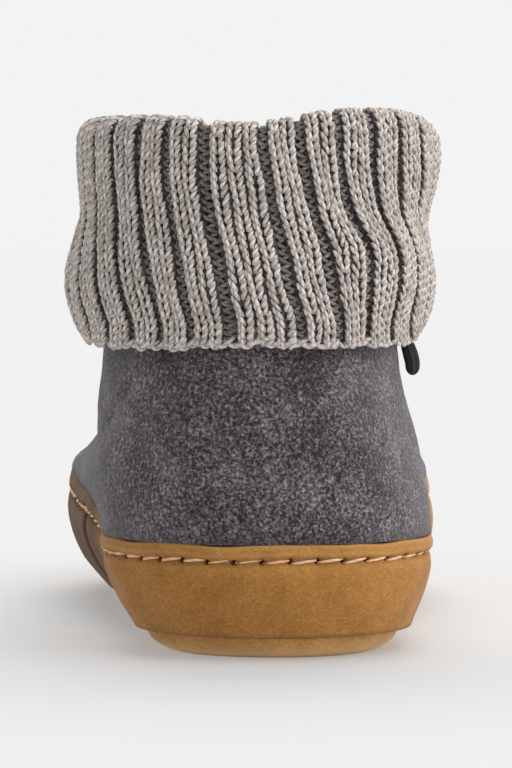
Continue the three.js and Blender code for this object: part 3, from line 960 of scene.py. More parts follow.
class Finishes:
    """Every finish of the shoe, made once."""

    def __init__(self) -> None:
        """Makes the materials."""
        effects = Effects()
        felt = (srgb(40, 34, 39), srgb(96, 88, 93), srgb(178, 168, 172))
        insole = (srgb(70, 66, 68), srgb(116, 110, 112), srgb(170, 164, 165))
        # The knit ground's dark colours stand in for the shade between the stitches: painted shade.
        ground = (srgb(40, 35, 36), srgb(86, 79, 77), srgb(130, 122, 118))
        cup = (srgb(174, 122, 62), srgb(136, 90, 40), srgb(214, 172, 112))
        # The sole's suede is paler than the cup's: partly its own tone, partly painted light for an edge that
        # faces down into shade.
        sole = (srgb(206, 160, 100), srgb(166, 120, 68), srgb(230, 198, 148))
        self.felt = WoolFelt("boiled_wool", *felt).make(effects)
        self.insole = WoolFelt("insole_wool", *insole, fineness=0.8).make(effects)
        self.cup = Suede("cup_suede", *cup).make(effects)
        self.sole = Suede("sole_suede", *sole).make(effects)
        self.knit = Yarn("cuff_yarn", srgb(232, 223, 215), srgb(136, 126, 119)).make(effects)
        # A darker copy of the cuff yarn for the purl bumps: painted shade in the troughs.
        self.purl = Yarn("trough_yarn_painted_shade", srgb(164, 155, 150), srgb(84, 77, 75)).make(effects)
        self.thread = Yarn("cup_thread", srgb(252, 212, 168), srgb(218, 168, 122), twist=2.5).make(effects)
        self.ground = WoolFelt("knit_ground", *ground).make(effects)
        self.ribbon = Ribbon("side_ribbon", srgb(22, 22, 26), srgb(62, 62, 70)).make()
        self.felt_hair = Hair("felt_hair", srgb(70, 64, 67), srgb(150, 142, 144)).make()
        self.knit_hair = Hair("knit_hair", srgb(140, 132, 126), srgb(224, 216, 208)).make()


def dress(thing: bpy.types.Object, material: bpy.types.Material, slot: Slot, *nodes: str) -> None:
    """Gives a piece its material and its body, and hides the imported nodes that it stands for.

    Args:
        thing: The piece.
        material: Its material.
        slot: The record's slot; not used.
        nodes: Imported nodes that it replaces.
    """
    thing.data.materials.append(material)
    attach(thing, "root")
    if nodes:
        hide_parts(*nodes)
    LOG.info("%s: %d faces", thing.name, len(thing.data.polygons))


# Felt upper


@dataclass(frozen=True)
class Crease:
    """A soft trough, or a ridge where depth is negative, from one place on the felt to another."""

    start: tuple[float, float]
    end: tuple[float, float]
    width: float
    depth: float

    def at(self, turn: Array, z: Array, radius: float) -> Array:
        """Depth at places: a hump across the line that fades at the line's ends.

        Args:
            turn: Turns in degrees.
            z: Levels.
            radius: Millimetres along the outline for a radian of turn.

        Returns:
            Depths in millimetres.
        """
        per_degree = radius * math.pi / 180.0
        run = np.array([turn_apart(self.end[0], self.start[0]) * per_degree, self.end[1] - self.start[1]])
        length = float(np.linalg.norm(run))
        dx, dz = turn_apart(turn, self.start[0]) * per_degree, z - self.start[1]
        along = (dx * run[0] + dz * run[1]) / length
        across = (dx * run[1] - dz * run[0]) / length
        fade = smooth(along, -0.15 * length, 0.25 * length) * smooth(-along, -1.15 * length, -0.75 * length)
        return self.depth * hill(across, self.width) * fade


@dataclass
class FeltUpper:
    """The boiled wool shell, from inside the cup over the vamp to the collar and back down inside."""

    place: Placement
    wall: float = 3.2
    wall_in_cup: float = 2.4
    suede: float = 1.8
    clearance: float = 0.3
    floor: float = 7.6
    collar_drop: float = 0.8
    collar_round: float = 0.35
    row_spacing: float = 0.92
    lump: float = 0.3
    lump_kinds: tuple[tuple[float, float, int], ...] = ((0.6, 9.0, 3), (0.3, 3.5, 4), (0.2, 1.3, 5))
    fibres: int = 8000
    columns: int = 440
    outer_rows: int = 84
    inner_rows: int = 34
    cup_rows: int = 6
    creases: tuple[Crease, ...] = (
        Crease((-148.0, 60.0), (-116.0, 44.0), 4.0, 0.9),
        Crease((-150.0, 40.0), (-128.0, 58.0), 3.4, -0.5),
        Crease((-62.0, 70.0), (-54.0, 34.0), 5.5, -0.7),
        Crease((-40.0, 68.0), (-36.0, 40.0), 5.0, 0.6),
        Crease((52.0, 62.0), (128.0, 62.0), 4.5, 1.2),
        Crease((40.0, 54.0), (64.0, 48.0), 4.0, 0.8),
        Crease((120.0, 50.0), (146.0, 56.0), 4.0, 0.8),
        Crease((10.0, 66.0), (30.0, 52.0), 4.5, 0.7),
        Crease((172.0, 60.0), (155.0, 48.0), 4.5, 0.7),
        Crease((-129.0, 66.0), (-145.0, 54.0), 1.5, 0.8),
    )
    crease_radius: float = 48.0

    def build(self, cup: SuedeCup, finishes: Finishes) -> None:
        """Makes the shell and its loose fibres.

        Args:
            cup: The cup that it stands in, which gives the tucked outline.
            finishes: The materials.
        """
        turn = np.linspace(0.0, TAU, self.columns, endpoint=False)
        rim, collar = FORM.rim_height, FORM.collar_height
        share = np.linspace(0.0, 1.0, self.outer_rows) ** self.row_spacing
        low, high = rim + self.clearance, collar - self.collar_drop
        levels = mix(low, high, share)
        face, normal = FORM.ring(levels[:, None], turn[None, :])
        outer = face + normal * self.relief(face, turn, levels)[..., None]
        section = ((0.6, self.collar_round), (0.9, self.wall / 2), (0.6, self.wall - self.collar_round))
        edge = [outer[-1:] + np.array([0.0, 0.0, rise]) - normal[-1:] * inward for rise, inward in section]
        inner_levels = mix(high, low, np.linspace(0.0, 1.0, self.inner_rows))
        inner_face, inner_normal = FORM.ring(inner_levels[:, None], turn[None, :])
        inner = inner_face - inner_normal * self.wall
        down = np.linspace(rim - 0.6, self.floor, self.cup_rows)
        inside = cup.tucked(down, turn, self.suede + self.clearance + self.wall_in_cup)
        up = np.concatenate([down[::-1], [low]])
        outside = cup.tucked(up, turn, self.suede + self.clearance)
        rings = np.concatenate([outer, *edge, inner, inside, outside])
        shell = skin("felt_upper", self.place, FORM.finish_height(rings), True, (0.6, 1.5))
        shade = np.zeros(rings.shape[:2])
        # Painted shade: the felt is darkened in the 5 mm over the rim, where it meets the cup.
        shade[: self.outer_rows] = 0.5 * smooth(-(levels - rim), -5.0, 0.5)[:, None]
        paint(shell, "shade", shade)
        dress(shell, finishes.felt, Slot.FELT, "upper")
        self.fuzz(outer, normal, finishes)

    def relief(self, face: Array, turn: Array, levels: Array) -> Array:
        """How far the felt's outer face stands off the form: lumps of the felting less the creases.

        Args:
            face: The form's points.
            turn: The columns' turns.
            levels: The rows' levels.

        Returns:
            Distances in millimetres.
        """
        lumps = sum(share * cloudiness(face, size, seed) for share, size, seed in self.lump_kinds)
        depth = np.zeros(face.shape[:2])
        degrees = np.degrees(turn)[None, :]
        for crease in self.creases:
            depth += crease.at(degrees, levels[:, None], self.crease_radius)
        hold = smooth(levels, FORM.rim_height, FORM.rim_height + 6.0)[:, None]
        return (self.lump * lumps - depth) * hold

    def fuzz(self, outer: Array, normal: Array, finishes: Finishes) -> None:
        """Loose fibres on the felt: thin curved slivers that lie nearly flat.

        Args:
            outer: The outer face's points.
            normal: Their normals.
            finishes: The materials.
        """
        rng = np.random.default_rng(Seed.FELT_FIBRES.value)
        count = self.fibres
        row = rng.integers(1, outer.shape[0] - 2, count)
        column = rng.integers(0, outer.shape[1], count)
        root, up = outer[row, column], normal[row, column]
        verts, faces = FibreTuft(length=(0.6, 1.9), width=0.05, lean=0.25).grow(rng, root, up)
        fuzz = mesh_object("felt_fibres", self.place, FORM.finish_height(verts), faces)
        paint(fuzz, "shade", np.repeat(rng.uniform(0.0, 0.9, count) ** 2, len(verts) // count))
        dress(fuzz, finishes.felt_hair, Slot.FELT)


@dataclass(frozen=True)
class FibreTuft:
    """Single fibres as thin three-sided slivers: a bent line with a little width that ends in a point."""

    length: tuple[float, float] = (1.5, 4.0)
    width: float = 0.07
    lean: float = 0.3

    def grow(self, rng: np.random.Generator, root: Array, up: Array) -> tuple[Array, Array]:
        """Grows one fibre from each root: a parabola that leaves the surface sideways and bends back to it.

        Args:
            rng: The seeded source of chance.
            root: Roots, n by 3.
            up: Surface normals there.

        Returns:
            Points and triangles.
        """
        count = len(root)
        aside = unit(np.cross(up, unit(rng.normal(size=(count, 3)))))
        bend = np.cross(up, aside) * rng.uniform(-0.5, 0.5, (count, 1))
        length = rng.uniform(*self.length, (count, 1))
        rise = rng.uniform(0.3, 1.0, (count, 1)) * self.lean
        half = np.cross(up, aside) * self.width / 2
        points = []
        for t in (0.0, 0.4, 0.75):
            gone = aside * t + bend * t * t + up * rise * (t - 0.45 * t * t)
            middle = root + length * gone - up * 0.05
            points += [middle - half * (1.0 - t), middle + half * (1.0 - t)]
        points.append(root + length * (aside + bend + up * rise * 0.55))
        verts = np.stack(points, axis=1).reshape(-1, 3)
        plan = np.array([[0, 1, 2], [2, 1, 3], [2, 3, 4], [4, 3, 5], [4, 5, 6]])
        faces = (plan[None] + (np.arange(count) * 7)[:, None, None]).reshape(-1, 3)
        return verts, faces


# Suede cup with its stitches, outsole and insole


@dataclass
class SuedeCup:
    """The suede cup: a band over the stitch line, a pinch at the stitches and a foot drawn in below."""

    place: Placement
    thickness: float = 1.8
    tuck_outer: float = 4.3
    tuck_inner: float = 8.6
    forefoot_bulge: float = 1.6
    floor: float = 5.5
    columns: int = 1240
    stitch_share: float = 0.867
    stitch_pitch: float = 6.8
    hole_size: float = 0.68
    hole_depth: float = 1.1
    stitch_pull: float = 0.16
    thread_radius: float = 0.36
    fold_depth: float = 1.1
    waviness: float = 0.28
    rim_wave: float = 0.6
    first_hole_x: float = -1.1
    crease_along: float = 118.0
    crease_slant: float = 0.2
    crease_width: float = 3.0
    inner_from: tuple[float, float] = (20.0, 32.0)
    # Painted shade on the inner side: where it starts along the shoe, and where it ends (given negated).
    painted_shade_from: tuple[float, float] = (66.0, 100.0)
    painted_shade_to: tuple[float, float] = (-220.0, -175.0)
    near_holes: float = 0.06
    profile: Table = Table(
        "height tuck bulge swell",
        (0.1986, 1.0, 0.3, 0.0),
        (0.287, 0.83, 0.7, 0.05),
        (0.402, 0.6, 1.0, 0.16),
        (0.557, 0.34, 1.24, 0.3),
        (0.711, 0.14, 1.12, 0.3),
        (0.807, 0.06, 0.9, 0.0),
        (0.86, 0.03, 0.6, -0.35),
        (0.899, 0.01, 0.35, 0.1),
        (0.95, 0.0, 0.1, 0.16),
        (1.0, 0.0, 0.0, -0.05),
    )

    def tuck(self, turn: Array) -> Array:
        """How far the foot of the cup is drawn in: more on the inner side than on the outer."""
        return mix(self.tuck_inner, self.tuck_outer, (1.0 + np.cos(turn)) / 2.0)

    def plain_inset(self, height: Array, turn: Array, y: Array) -> Array:
        """How far the plain section lies inside the rim's outline: the tuck less the forefoot's bulge.

        Args:
            height: Levels as shares of the rim's height.
            turn: Turns in radians.
            y: Places of the rim along the shoe.

        Returns:
            Distances in millimetres.
        """
        bulge = self.forefoot_bulge * smooth(y / FORM.length, 0.2, 0.55)
        drawn_in = self.profile.read("tuck", height) * self.tuck(turn)
        return drawn_in - self.profile.read("bulge", height) * bulge

    def rim(self, turn: Array) -> tuple[Array, Array]:
        """The rim's outline and its level outward directions."""
        p, normal = FORM.ring(FORM.rim_height, turn)
        return p, unit(normal * np.array([1.0, 1.0, 0.0]))

    def tucked(self, levels: Array, turn: Array, depth: float) -> Array:
        """Rings inside the rim's outline that follow the plain tuck.

        Args:
            levels: The rings' levels.
            turn: The columns' turns.
            depth: Distance from the cup's plain outer face, in millimetres.

        Returns:
            Levels by turns by 3.
        """
        rim, out = self.rim(turn)
        inset = self.plain_inset(np.asarray(levels)[:, None] / FORM.rim_height, turn, rim[:, 1]) + depth
        rings = rim[None] - out[None] * inset[..., None]
        rings[..., 2] = np.asarray(levels)[:, None]
        return rings

    def stitch_turns(self) -> Array:
        """Turns of the awl holes, even along the rim and with one at the place seen in the photo."""
        rim, _ = self.rim(np.linspace(0.0, TAU, 1025))
        around = np.linalg.norm(np.diff(rim, axis=0), axis=1).sum()
        count = round(around / self.stitch_pitch)
        first = -math.pi / 2 + math.atan2(self.first_hole_x, FORM.shaft_length * 0.43)
        return even_turns(count, FORM.rim_height, first)

    def face(
        self, height: Array, turn: Array, rim: Array, out: Array, holes: Array
    ) -> tuple[Array, Array, Array]:
        """The outer face: the profile, waves between the stitches, dents at the holes and the nap's lumps.

        Args:
            height: Rows as shares of the rim's height.
            turn: Columns' turns.
            rim: The rim's outline at the turns.
            out: Outward directions there.
            holes: Turns of the holes.

        Returns:
            Points, and for each its painted shade and how pale it is.
        """
        inset = self.plain_inset(height[:, None], turn, rim[:, 1])
        swell = self.profile.read("swell", height)[:, None] * self.thickness * np.ones_like(turn)
        level = height[:, None] * FORM.rim_height * np.ones_like(turn)
        edge = np.concatenate([holes, holes[:1] + TAU])
        phase = np.interp(np.mod(turn - holes[0], TAU) + holes[0], edge, np.arange(len(edge)))
        apart = np.abs(phase - np.round(phase)) * self.stitch_pitch
        drop = level - self.stitch_share * FORM.rim_height
        from_hole = np.hypot(apart[None, :], drop)
        hole = np.exp(-((from_hole / self.hole_size) ** 4))
        pull = np.cos(phase * TAU)[None, :] * hill(drop, 1.5) * self.stitch_pull
        wobble = cloudiness(rim[None] + np.stack([0 * level, 0 * level, level], -1), 11.0, 21)
        inner = smooth(-rim[:, 0], *self.inner_from)
        from_fold = rim[:, 1] - self.crease_along + self.crease_slant * (FORM.rim_height - level)
        fold = hill(from_fold, self.crease_width) * inner
        fold = fold * smooth(-height, -0.97, -0.8)[:, None]
        waves = self.waviness * wobble * smooth(height, 0.2, 0.5)[:, None]
        off = swell - inset - hole * self.hole_depth - pull - self.fold_depth * fold + waves
        points = rim[None] + out[None] * off[..., None]
        wave = self.rim_wave * cloudiness(points, 10.0, 22)
        points[..., 2] = level + wave * smooth(height, 0.75, 1.0)[:, None]
        # Painted shade in the groove of the stitch line and at the cup's foot, over the sole.
        painted_groove_shade = 0.2 * hill(drop, 0.7) + 0.22 * hill(level - self.floor, 0.5)
        # Painted shade on the inner side, from about 66 to 220 mm along the shoe.
        painted_inner_shade = inner * smooth(rim[:, 1], *self.painted_shade_from) * smooth(-rim[:, 1], *self.painted_shade_to)
        # The painted shade: in the awl holes, the grooves, the fold crease and on the inner side.
        shade = np.clip(hole * 1.3 + painted_groove_shade + 0.5 * fold + 0.72 * painted_inner_shade, 0.0, 1.0)
        # Paler along the rim's edge and in bands beside the stitch line.
        rim_pale_band = 0.28 * hill(height - 1.0, 0.028)[:, None]
        pale_band = rim_pale_band + 0.22 * hill(drop - 1.7, 0.6) + 0.1 * hill(drop + 1.9, 0.8)
        return points, shade, np.clip(pale_band + 0 * level, 0.0, 1.0)

    def build(self, finishes: Finishes) -> None:
        """Makes the cup and its stitches.

        Args:
            finishes: The materials.
        """
        turn = even_turns(self.columns, FORM.rim_height)
        rim, out = self.rim(turn)
        holes = self.stitch_turns()
        low = self.floor / FORM.rim_height
        near = self.stitch_share + np.linspace(-self.near_holes, self.near_holes, 17)
        below = np.linspace(low, near[0], 17, endpoint=False)
        height = np.concatenate([below, near, np.linspace(near[-1], 1.0, 8)[1:]])
        points, shade, pale_band = self.face(height, turn, rim, out, holes)
        steps_in = np.array([0.35, self.thickness / 2, self.thickness - 0.3])
        lip = points[-1:] - out[None] * steps_in[:, None, None]
        lip[..., 2] += np.array([0.22, 0.3, 0.12])[:, None]
        inner = self.tucked(np.linspace(0.97, 0.26, 7) * FORM.rim_height, turn, self.thickness)
        floor = self.tucked(np.array([self.floor + self.thickness]), turn, self.thickness)
        rings = closed(np.concatenate([points, lip, inner, floor]), turn)
        cup = skin("suede_cup_skin", self.place, FORM.finish_height(rings), False, (0.5, 0.53))
        paint(cup, "shade", pad_rows(shade, len(rings)))
        paint(cup, "pale_band", pad_rows(pale_band, len(rings)))
        dress(cup, finishes.cup, Slot.CUP, "suede_cup")
        self.stitches(holes, finishes)

    def stitches(self, holes: Array, finishes: Finishes) -> None:
        """The thread: one short bead from hole to hole, low at both ends and slightly slanted.

        Args:
            holes: Turns of the holes.
            finishes: The materials.
        """
        steps = np.linspace(0.0, 1.0, 9)
        ahead = np.concatenate([holes[1:], holes[:1] + TAU])
        rng = np.random.default_rng(Seed.STITCHES.value)
        jitter = rng.normal(0.0, 1.0, (len(holes), 3))
        turn = mix(holes[:, None], ahead[:, None], 0.035 + 0.93 * steps[None, :])
        rim, out = self.rim(turn)
        slant = (0.026 + 0.008 * jitter[:, 1:2]) * (steps[None, :] - 0.5)
        share = self.stitch_share + 0.005 * jitter[:, :1] + slant
        share = share + 0.004 * np.sin(math.pi * steps)[None, :]
        swell = self.profile.read("swell", share) * self.thickness
        inset = self.plain_inset(share, turn, rim[..., 1]) - swell
        arch = np.sin(math.pi * steps)[None, :] ** 0.7
        off = -inset - 0.75 + (1.02 + 0.07 * jitter[:, 2:3]) * arch
        centres = rim + out * off[..., None]
        centres[..., 2] = share * FORM.rim_height
        radii = np.broadcast_to(self.thread_radius * (0.75 + 0.25 * np.sin(math.pi * steps)), turn.shape)
        beads = sweep(centres, out, radii, 8, 0.8)
        tones = rng.uniform(0.0, 0.3, len(holes))
        lay_yarn("cup_stitches", self.place, beads, tones, finishes.thread, Slot.CUP)


def lay_yarn(
    name: str,
    place: Placement,
    beads: tuple[Array, Array, Array],
    tones: Array,
    material: bpy.types.Material,
    slot: Slot,
) -> None:
    """Makes a piece of many equal beads of yarn.

    Args:
        name: The piece's name.
        place: Where the shoe stands.
        beads: Points, triangles and texture places, as sweep gives them.
        tones: How dark each bead is.
        material: The yarn.
        slot: The record's slot.
    """
    verts, faces, uv = beads
    piece = mesh_object(name, place, FORM.finish_height(verts), faces, uv)
    paint(piece, "tone", np.repeat(tones, len(verts) // len(tones)))
    dress(piece, material, slot)


def pad_rows(values: Array, rows: int) -> Array:
    """Puts rows of values into a taller grid of zeros, after the rows that close its start."""
    padded = np.zeros((rows, values.shape[1]))
    padded[CLOSING_ROWS : CLOSING_ROWS + len(values)] = values
    return padded


def close_inward(ring: Array, turn: Array) -> Array:
    """Rings that close an end ring flat onto the foot's middle line, opposite columns meeting there.

    Args:
        ring: One ring, 1 by columns by 3.
        turn: The columns' turns.

    Returns:
        Two rings, the second on the middle line.
    """
    x, y = FORM.spine(np.array(FORM.rim_height), turn)
    middle = np.stack([x, y, ring[0, :, 2]], axis=-1)
    return np.stack([mix(ring[0], middle, share) for share in (0.5, 1.0)])


def closed(rings: Array, turn: Array) -> Array:
    """Adds rings that close both ends flat onto the foot's middle line.

    Args:
        rings: Rows by columns by 3.
        turn: The columns' turns.

    Returns:
        The rings, with CLOSING_ROWS more at each end.
    """
    return np.concatenate([close_inward(rings[:1], turn)[::-1], rings, close_inward(rings[-1:], turn)])


@dataclass
class Outsole:
    """The thin suede sole under the cup, with a rounded edge and a paler band low on it, partly rubbed wear
    and partly painted light.
    """

    place: Placement
    thickness: float = 5.2
    step: float = 3.2
    columns: int = 520
    edge: Table = Table(
        "height inset",
        (0.0, 1.15),
        (0.1, 0.8),
        (0.3, 0.42),
        (0.6, 0.12),
        (1.0, 0.0),
    )

    def build(self, cup: SuedeCup, finishes: Finishes) -> None:
        """Makes the sole.

        Args:
            cup: The cup above, which gives the outline.
            finishes: The materials.
        """
        turn = even_turns(self.columns, FORM.rim_height)
        rim, out = cup.rim(turn)
        height = np.linspace(0.0, 1.0, 17)
        foot = cup.plain_inset(cup.floor / FORM.rim_height, turn, rim[:, 1])
        inset = foot + self.step + self.thickness * self.edge.read("inset", height)[:, None]
        rings = rim[None] - out[None] * inset[..., None]
        rings[..., 2] = (height * self.thickness)[:, None]
        wobble = 0.3 * cloudiness(rings, 13.0, 41) * smooth(height, 0.1, 0.5)[:, None]
        rings = closed(rings + out[None] * wobble[..., None], turn)
        sole = skin("outsole_skin", self.place, FORM.finish_height(rings), False, (0.4, 1.2))
        # Painted shade: darker at the top, under the cup, and at the bottom, where the sole meets the floor.
        shade = 0.12 * smooth(height, 0.9, 1.0) + 0.5 * smooth(-height, -0.12, 0.0)
        # A paler band low on the edge: partly rubbed wear, partly painted light on an edge that faces down
        # into shade.
        pale_band = 0.45 * hill(height - 0.2, 0.22)
        for name, by_row in (("shade", shade), ("pale_band", pale_band)):
            paint(sole, name, pad_rows(by_row[:, None] * np.ones_like(turn), len(rings)))
        dress(sole, finishes.sole, Slot.SOLE, "outsole")


@dataclass
class Insole:
    """The felt footbed: a flat pad with a softened upper edge."""

    place: Placement
    low: float = 7.6
    thickness: float = 4.0
    columns: int = 320

    def build(self, cup: SuedeCup, upper: FeltUpper, finishes: Finishes) -> None:
        """Makes the pad.

        Args:
            cup: The cup, which gives the outline.
            upper: The upper, which takes its wall from the room.
            finishes: The materials.
        """
        turn = even_turns(self.columns, FORM.rim_height)
        depth = upper.suede + upper.wall_in_cup + 2 * upper.clearance
        share = np.array([0.0, 0.2, 0.6, 0.85, 0.96, 1.0])
        inward = np.array([0.0, 0.0, 0.0, 0.15, 0.5, 1.1])
        rows = zip(self.low + self.thickness * share, inward)
        rings = closed(np.concatenate([cup.tucked(np.array([z]), turn, depth + i) for z, i in rows]), turn)
        pad = skin("insole_skin", self.place, FORM.finish_height(rings), False, (0.8, 2.0))
        paint(pad, "shade", np.zeros(rings.shape[:2]))
        dress(pad, finishes.insole, Slot.INSOLE, "insole")


# Knit cuff


@dataclass
class FoldedCuff:
    """The rib-knit cuff, folded down over the collar.

    The fabric is followed by two numbers: turn, round the leg, and along, millimetres from the hem up the
    outside, over the fold and down inside the collar.
    """

    place: Placement
    hem_height: float = 73.6
    fold_height: float = 129.0
    swell: float = 9.7
    knit: float = 4.0
    wall: float = 3.2
    clearance: float = 0.3
    lean: float = 2.1
    steepest: float = 0.6
    root_height: float = 77.0
    rib_pitch: float = 9.5
    troughs: Table = Table(
        "rise a b c d e f g h i j k",
        (0.12, -37.0, -31.1, -24.1, -17.1, -7.8, 9.5, 18.8, 25.1, 31.0, 35.6, 39.1),
        (0.27, -39.6, -33.7, -26.2, -19.2, -9.4, 6.7, 16.7, 25.6, 33.1, 37.3, 40.6),
        (0.42, -39.9, -34.9, -28.0, -20.2, -10.8, 5.1, 15.1, 25.6, 32.7, 36.8, 40.0),
        (0.58, -39.8, -34.9, -29.0, -21.6, -12.7, 3.0, 12.5, 20.9, 28.4, 33.4, 37.8),
        (0.74, -40.2, -35.6, -29.7, -23.0, -13.9, 1.6, 10.4, 18.8, 26.5, 32.9, 38.7),
        (0.9, -40.4, -36.1, -29.4, -23.0, -14.1, 0.0, 8.8, 18.2, 26.3, 32.9, 38.1),
    )
    ribs_rise: float = 0.74
    wide_rib: int = 4
    trough: float = 2.5
    relief: float = 1.8
    course: float = 2.1
    yarn: float = 0.56
    turning: float = 52.0
    leg_courses: float = 1.5
    leg_foot: float = 0.13
    leg_lean: float = 0.24
    loop_pitch: float = 2.7
    loop_length: float = 3.9
    loop_size: float = 1.25
    purl_size: float = 0.8
    ground_sink: float = 0.6
    columns: int = 480
    fibres: int = 16000
    grid_turns: int = 360
    grid_steps: int = 150
    face_rows: int = 15
    top_row: int = 17
    brow_rise: float = 0.88
    fold_section: tuple[tuple[float, float], ...] = (
        (0.95, 0.13),
        (0.99, 0.5),
        (1.0, 1.05),
        (0.985, 1.6),
        (0.93, 2.05),
        (0.74, 2.2),
    )
    face: Table = Table(
        "rise out",
        (0.0, 0.36),
        (0.03, 0.52),
        (0.1, 0.75),
        (0.19, 0.94),
        (0.29, 1.0),
        (0.39, 0.92),
        (0.49, 0.79),
        (0.58, 0.71),
        (0.68, 0.8),
        (0.78, 0.88),
        (0.88, 0.91),
    )
    edge: Table = Table(
        "turn fold hem",
        (-180.0, -1.2, 0.8),
        (-150.0, -0.5, -0.5),
        (-115.0, -0.4, -0.6),
        (-92.0, -2.0, 0.2),
        (-68.0, 1.2, -0.3),
        (-40.0, 0.7, -0.3),
        (-10.0, -2.4, 0.1),
        (40.0, -3.6, 0.8),
        (90.0, -3.0, 2.4),
        (140.0, -2.2, 2.0),
        (180.0, -1.2, 0.8),
    )

    def __post_init__(self) -> None:
        """Works out the fabric's path, its surface on a fine grid, and the ribs."""
        self.lay_path()
        self.lay_surface()
        self.lay_ribs()

    def brow(self) -> float:
        """How far the outer face stands off where it starts to turn over."""
        return float(self.face.read("out", self.brow_rise)) * self.swell

    def at_rise(self, rise: float) -> float:
        """Height at a share of the way from the hem to the fold."""
        return mix(self.hem_height, self.fold_height, rise)

    def lay_path(self) -> None:
        """Chains the outer face, the fold and the lining into one path, by millimetres along."""
        brow = self.brow()
        inside = -self.wall - self.clearance - self.knit
        span = self.fold_height - self.hem_height
        risen = np.linspace(0.0, self.brow_rise, self.face_rows)
        rows = [(float(r), float(self.face.read("out", r)) * self.swell) for r in risen]
        rows += [(rise, brow - share * self.knit) for rise, share in self.fold_section]
        rows += [(0.5, inside + 0.45 * self.knit), ((FORM.collar_height - self.hem_height) / span, inside)]
        rows += [((self.root_height - self.hem_height) / span, inside)]
        steps = [math.hypot((b[0] - a[0]) * span, b[1] - a[1]) for a, b in zip(rows, rows[1:])]
        along = np.concatenate([[0.0], np.cumsum(steps)])
        self.path = Table("along rise out", *[(s, r, o) for s, (r, o) in zip(along, rows)])
        self.length = float(along[-1])
        self.fold_along = float(along[self.top_row])

    def surface(self, turn: Array, along: Array) -> Array:
        """The fabric's smooth face: the path's rise and out, set off from the collar's outline.

        Args:
            turn: Turns in radians.
            along: Millimetres from the hem.

        Returns:
            Points, xyz on the last axis.
        """
        turn, along = np.broadcast_arrays(turn, along)
        degrees = (np.degrees(turn) + 180.0) % 360.0 - 180.0
        hem = self.hem_height + self.edge.read("hem", degrees)
        fold = self.fold_height + self.edge.read("fold", degrees)
        z = mix(hem, fold, self.path.read("rise", along))
        return self.stand_off(turn, z, self.path.read("out", along))

    def stand_off(self, turn: Array, z: Array, out: Array) -> Array:
        """Points level with z that stand off the form below the collar, or off its outline above.

        Args:
            turn: Turns in radians.
            z: Heights.
            out: Distances outward.

        Returns:
            Points, xyz on the last axis.
        """
        base, normal = FORM.ring(np.minimum(z, FORM.collar_height), turn)
        flat = np.linalg.norm(normal[..., :2], axis=-1, keepdims=True)
        away = normal[..., :2] / flat * (out[..., None] / np.maximum(flat, self.steepest))
        lean = self.lean * smooth(z, FORM.collar_height + 2.0, self.fold_height - 8.0)
        return np.stack([base[..., 0] + away[..., 0] + lean, base[..., 1] + away[..., 1], z], axis=-1)

    def lay_surface(self) -> None:
        """Keeps the smooth face and its normals on a grid, from which places between are read."""
        turn = np.linspace(-math.pi, math.pi, self.grid_turns, endpoint=False)
        along = np.linspace(0.0, self.length, self.grid_steps)
        p = self.surface(turn[None, :], along[:, None])
        around = np.roll(p, -1, axis=1) - np.roll(p, 1, axis=1)
        up = np.gradient(p, axis=0)
        self.grid = np.concatenate([p, unit(np.cross(around, up))], axis=-1)

    def read(self, turn: Array, along: Array) -> tuple[Array, Array]:
        """Reads the kept grid between its points.

        Args:
            turn: Turns in radians.
            along: Millimetres from the hem.

        Returns:
            Points and outward normals.
        """
        a = np.mod((turn + math.pi) / TAU, 1.0) * self.grid_turns
        b = np.clip(along / self.length, 0.0, 1.0) * (self.grid_steps - 1)
        i, j = np.floor(a).astype(int), np.minimum(np.floor(b).astype(int), self.grid_steps - 2)
        fa, fb = (a - i)[..., None], (b - j)[..., None]
        i, k = i % self.grid_turns, (i + 1) % self.grid_turns
        low = mix(self.grid[j, i], self.grid[j, k], fa)
        high = mix(self.grid[j + 1, i], self.grid[j + 1, k], fa)
        value = mix(low, high, fb)
        return value[..., :3], unit(value[..., 3:])

    def lay_ribs(self) -> None:
        """Sets the ribs round the cuff: where their troughs are known at the back, else evenly."""
        self.way_turn = np.linspace(-math.pi - 0.2, math.pi - 0.2, 2881)
        p = self.surface(self.way_turn, np.full_like(self.way_turn, 22.0))
        steps = np.linalg.norm(np.diff(p[:, :2], axis=0), axis=1)
        self.way = np.concatenate([[0.0], np.cumsum(steps)])
        risen, gone = (self.path.data[name][: self.top_row + 1] for name in ("rise", "along"))
        highest = np.interp(self.troughs.data["rise"][-1], risen, gone)
        levels = np.linspace(0.0, self.length, self.grid_steps)
        along = np.append(levels, np.interp(self.ribs_rise, risen, gone))
        held = np.minimum(along, highest)
        back = np.linspace(-math.pi + 0.05, -0.05, 721)
        across = np.maximum.accumulate(self.surface(back[None, :], held[:, None])[..., 0], axis=1)
        names = list(self.troughs.data)[1:]
        wanted = np.stack([self.troughs.read(name, self.path.read("rise", held)) for name in names], axis=-1)
        turns = np.stack([np.interp(x, row, back) for x, row in zip(wanted, across)])
        known = np.interp(turns[-1], self.way_turn, self.way)
        rest = self.way[-1] - (known[-1] - known[0])
        count = round(rest / self.rib_pitch)
        rng = np.random.default_rng(Seed.RIBS.value)
        widths = 1.0 + 0.05 * rng.uniform(-1, 1, count)
        self.rib_edges = np.concatenate([known, known[-1] + np.cumsum(widths) * rest / widths.sum()])
        self.trough_widths = self.trough * (1.0 + 0.16 * rng.uniform(-1, 1, len(self.rib_edges)))
        self.trough_widths[self.wide_rib] = self.trough * 1.4
        self.trough_widths[-1] = self.trough_widths[0]
        shift = turns[:-1] - turns[-1]
        still = np.zeros((len(shift), 2))
        self.knots = np.concatenate([known, known[-1] + rest * np.array([0.3, 0.7, 1.0])])
        self.shifts = np.concatenate([shift, still, shift[:, :1]], axis=1)

    def turn_at(self, way: Array) -> Array:
        """Turn of a distance round the cuff at mid-height."""
        return np.interp(np.mod(way, self.way[-1]), self.way, self.way_turn)

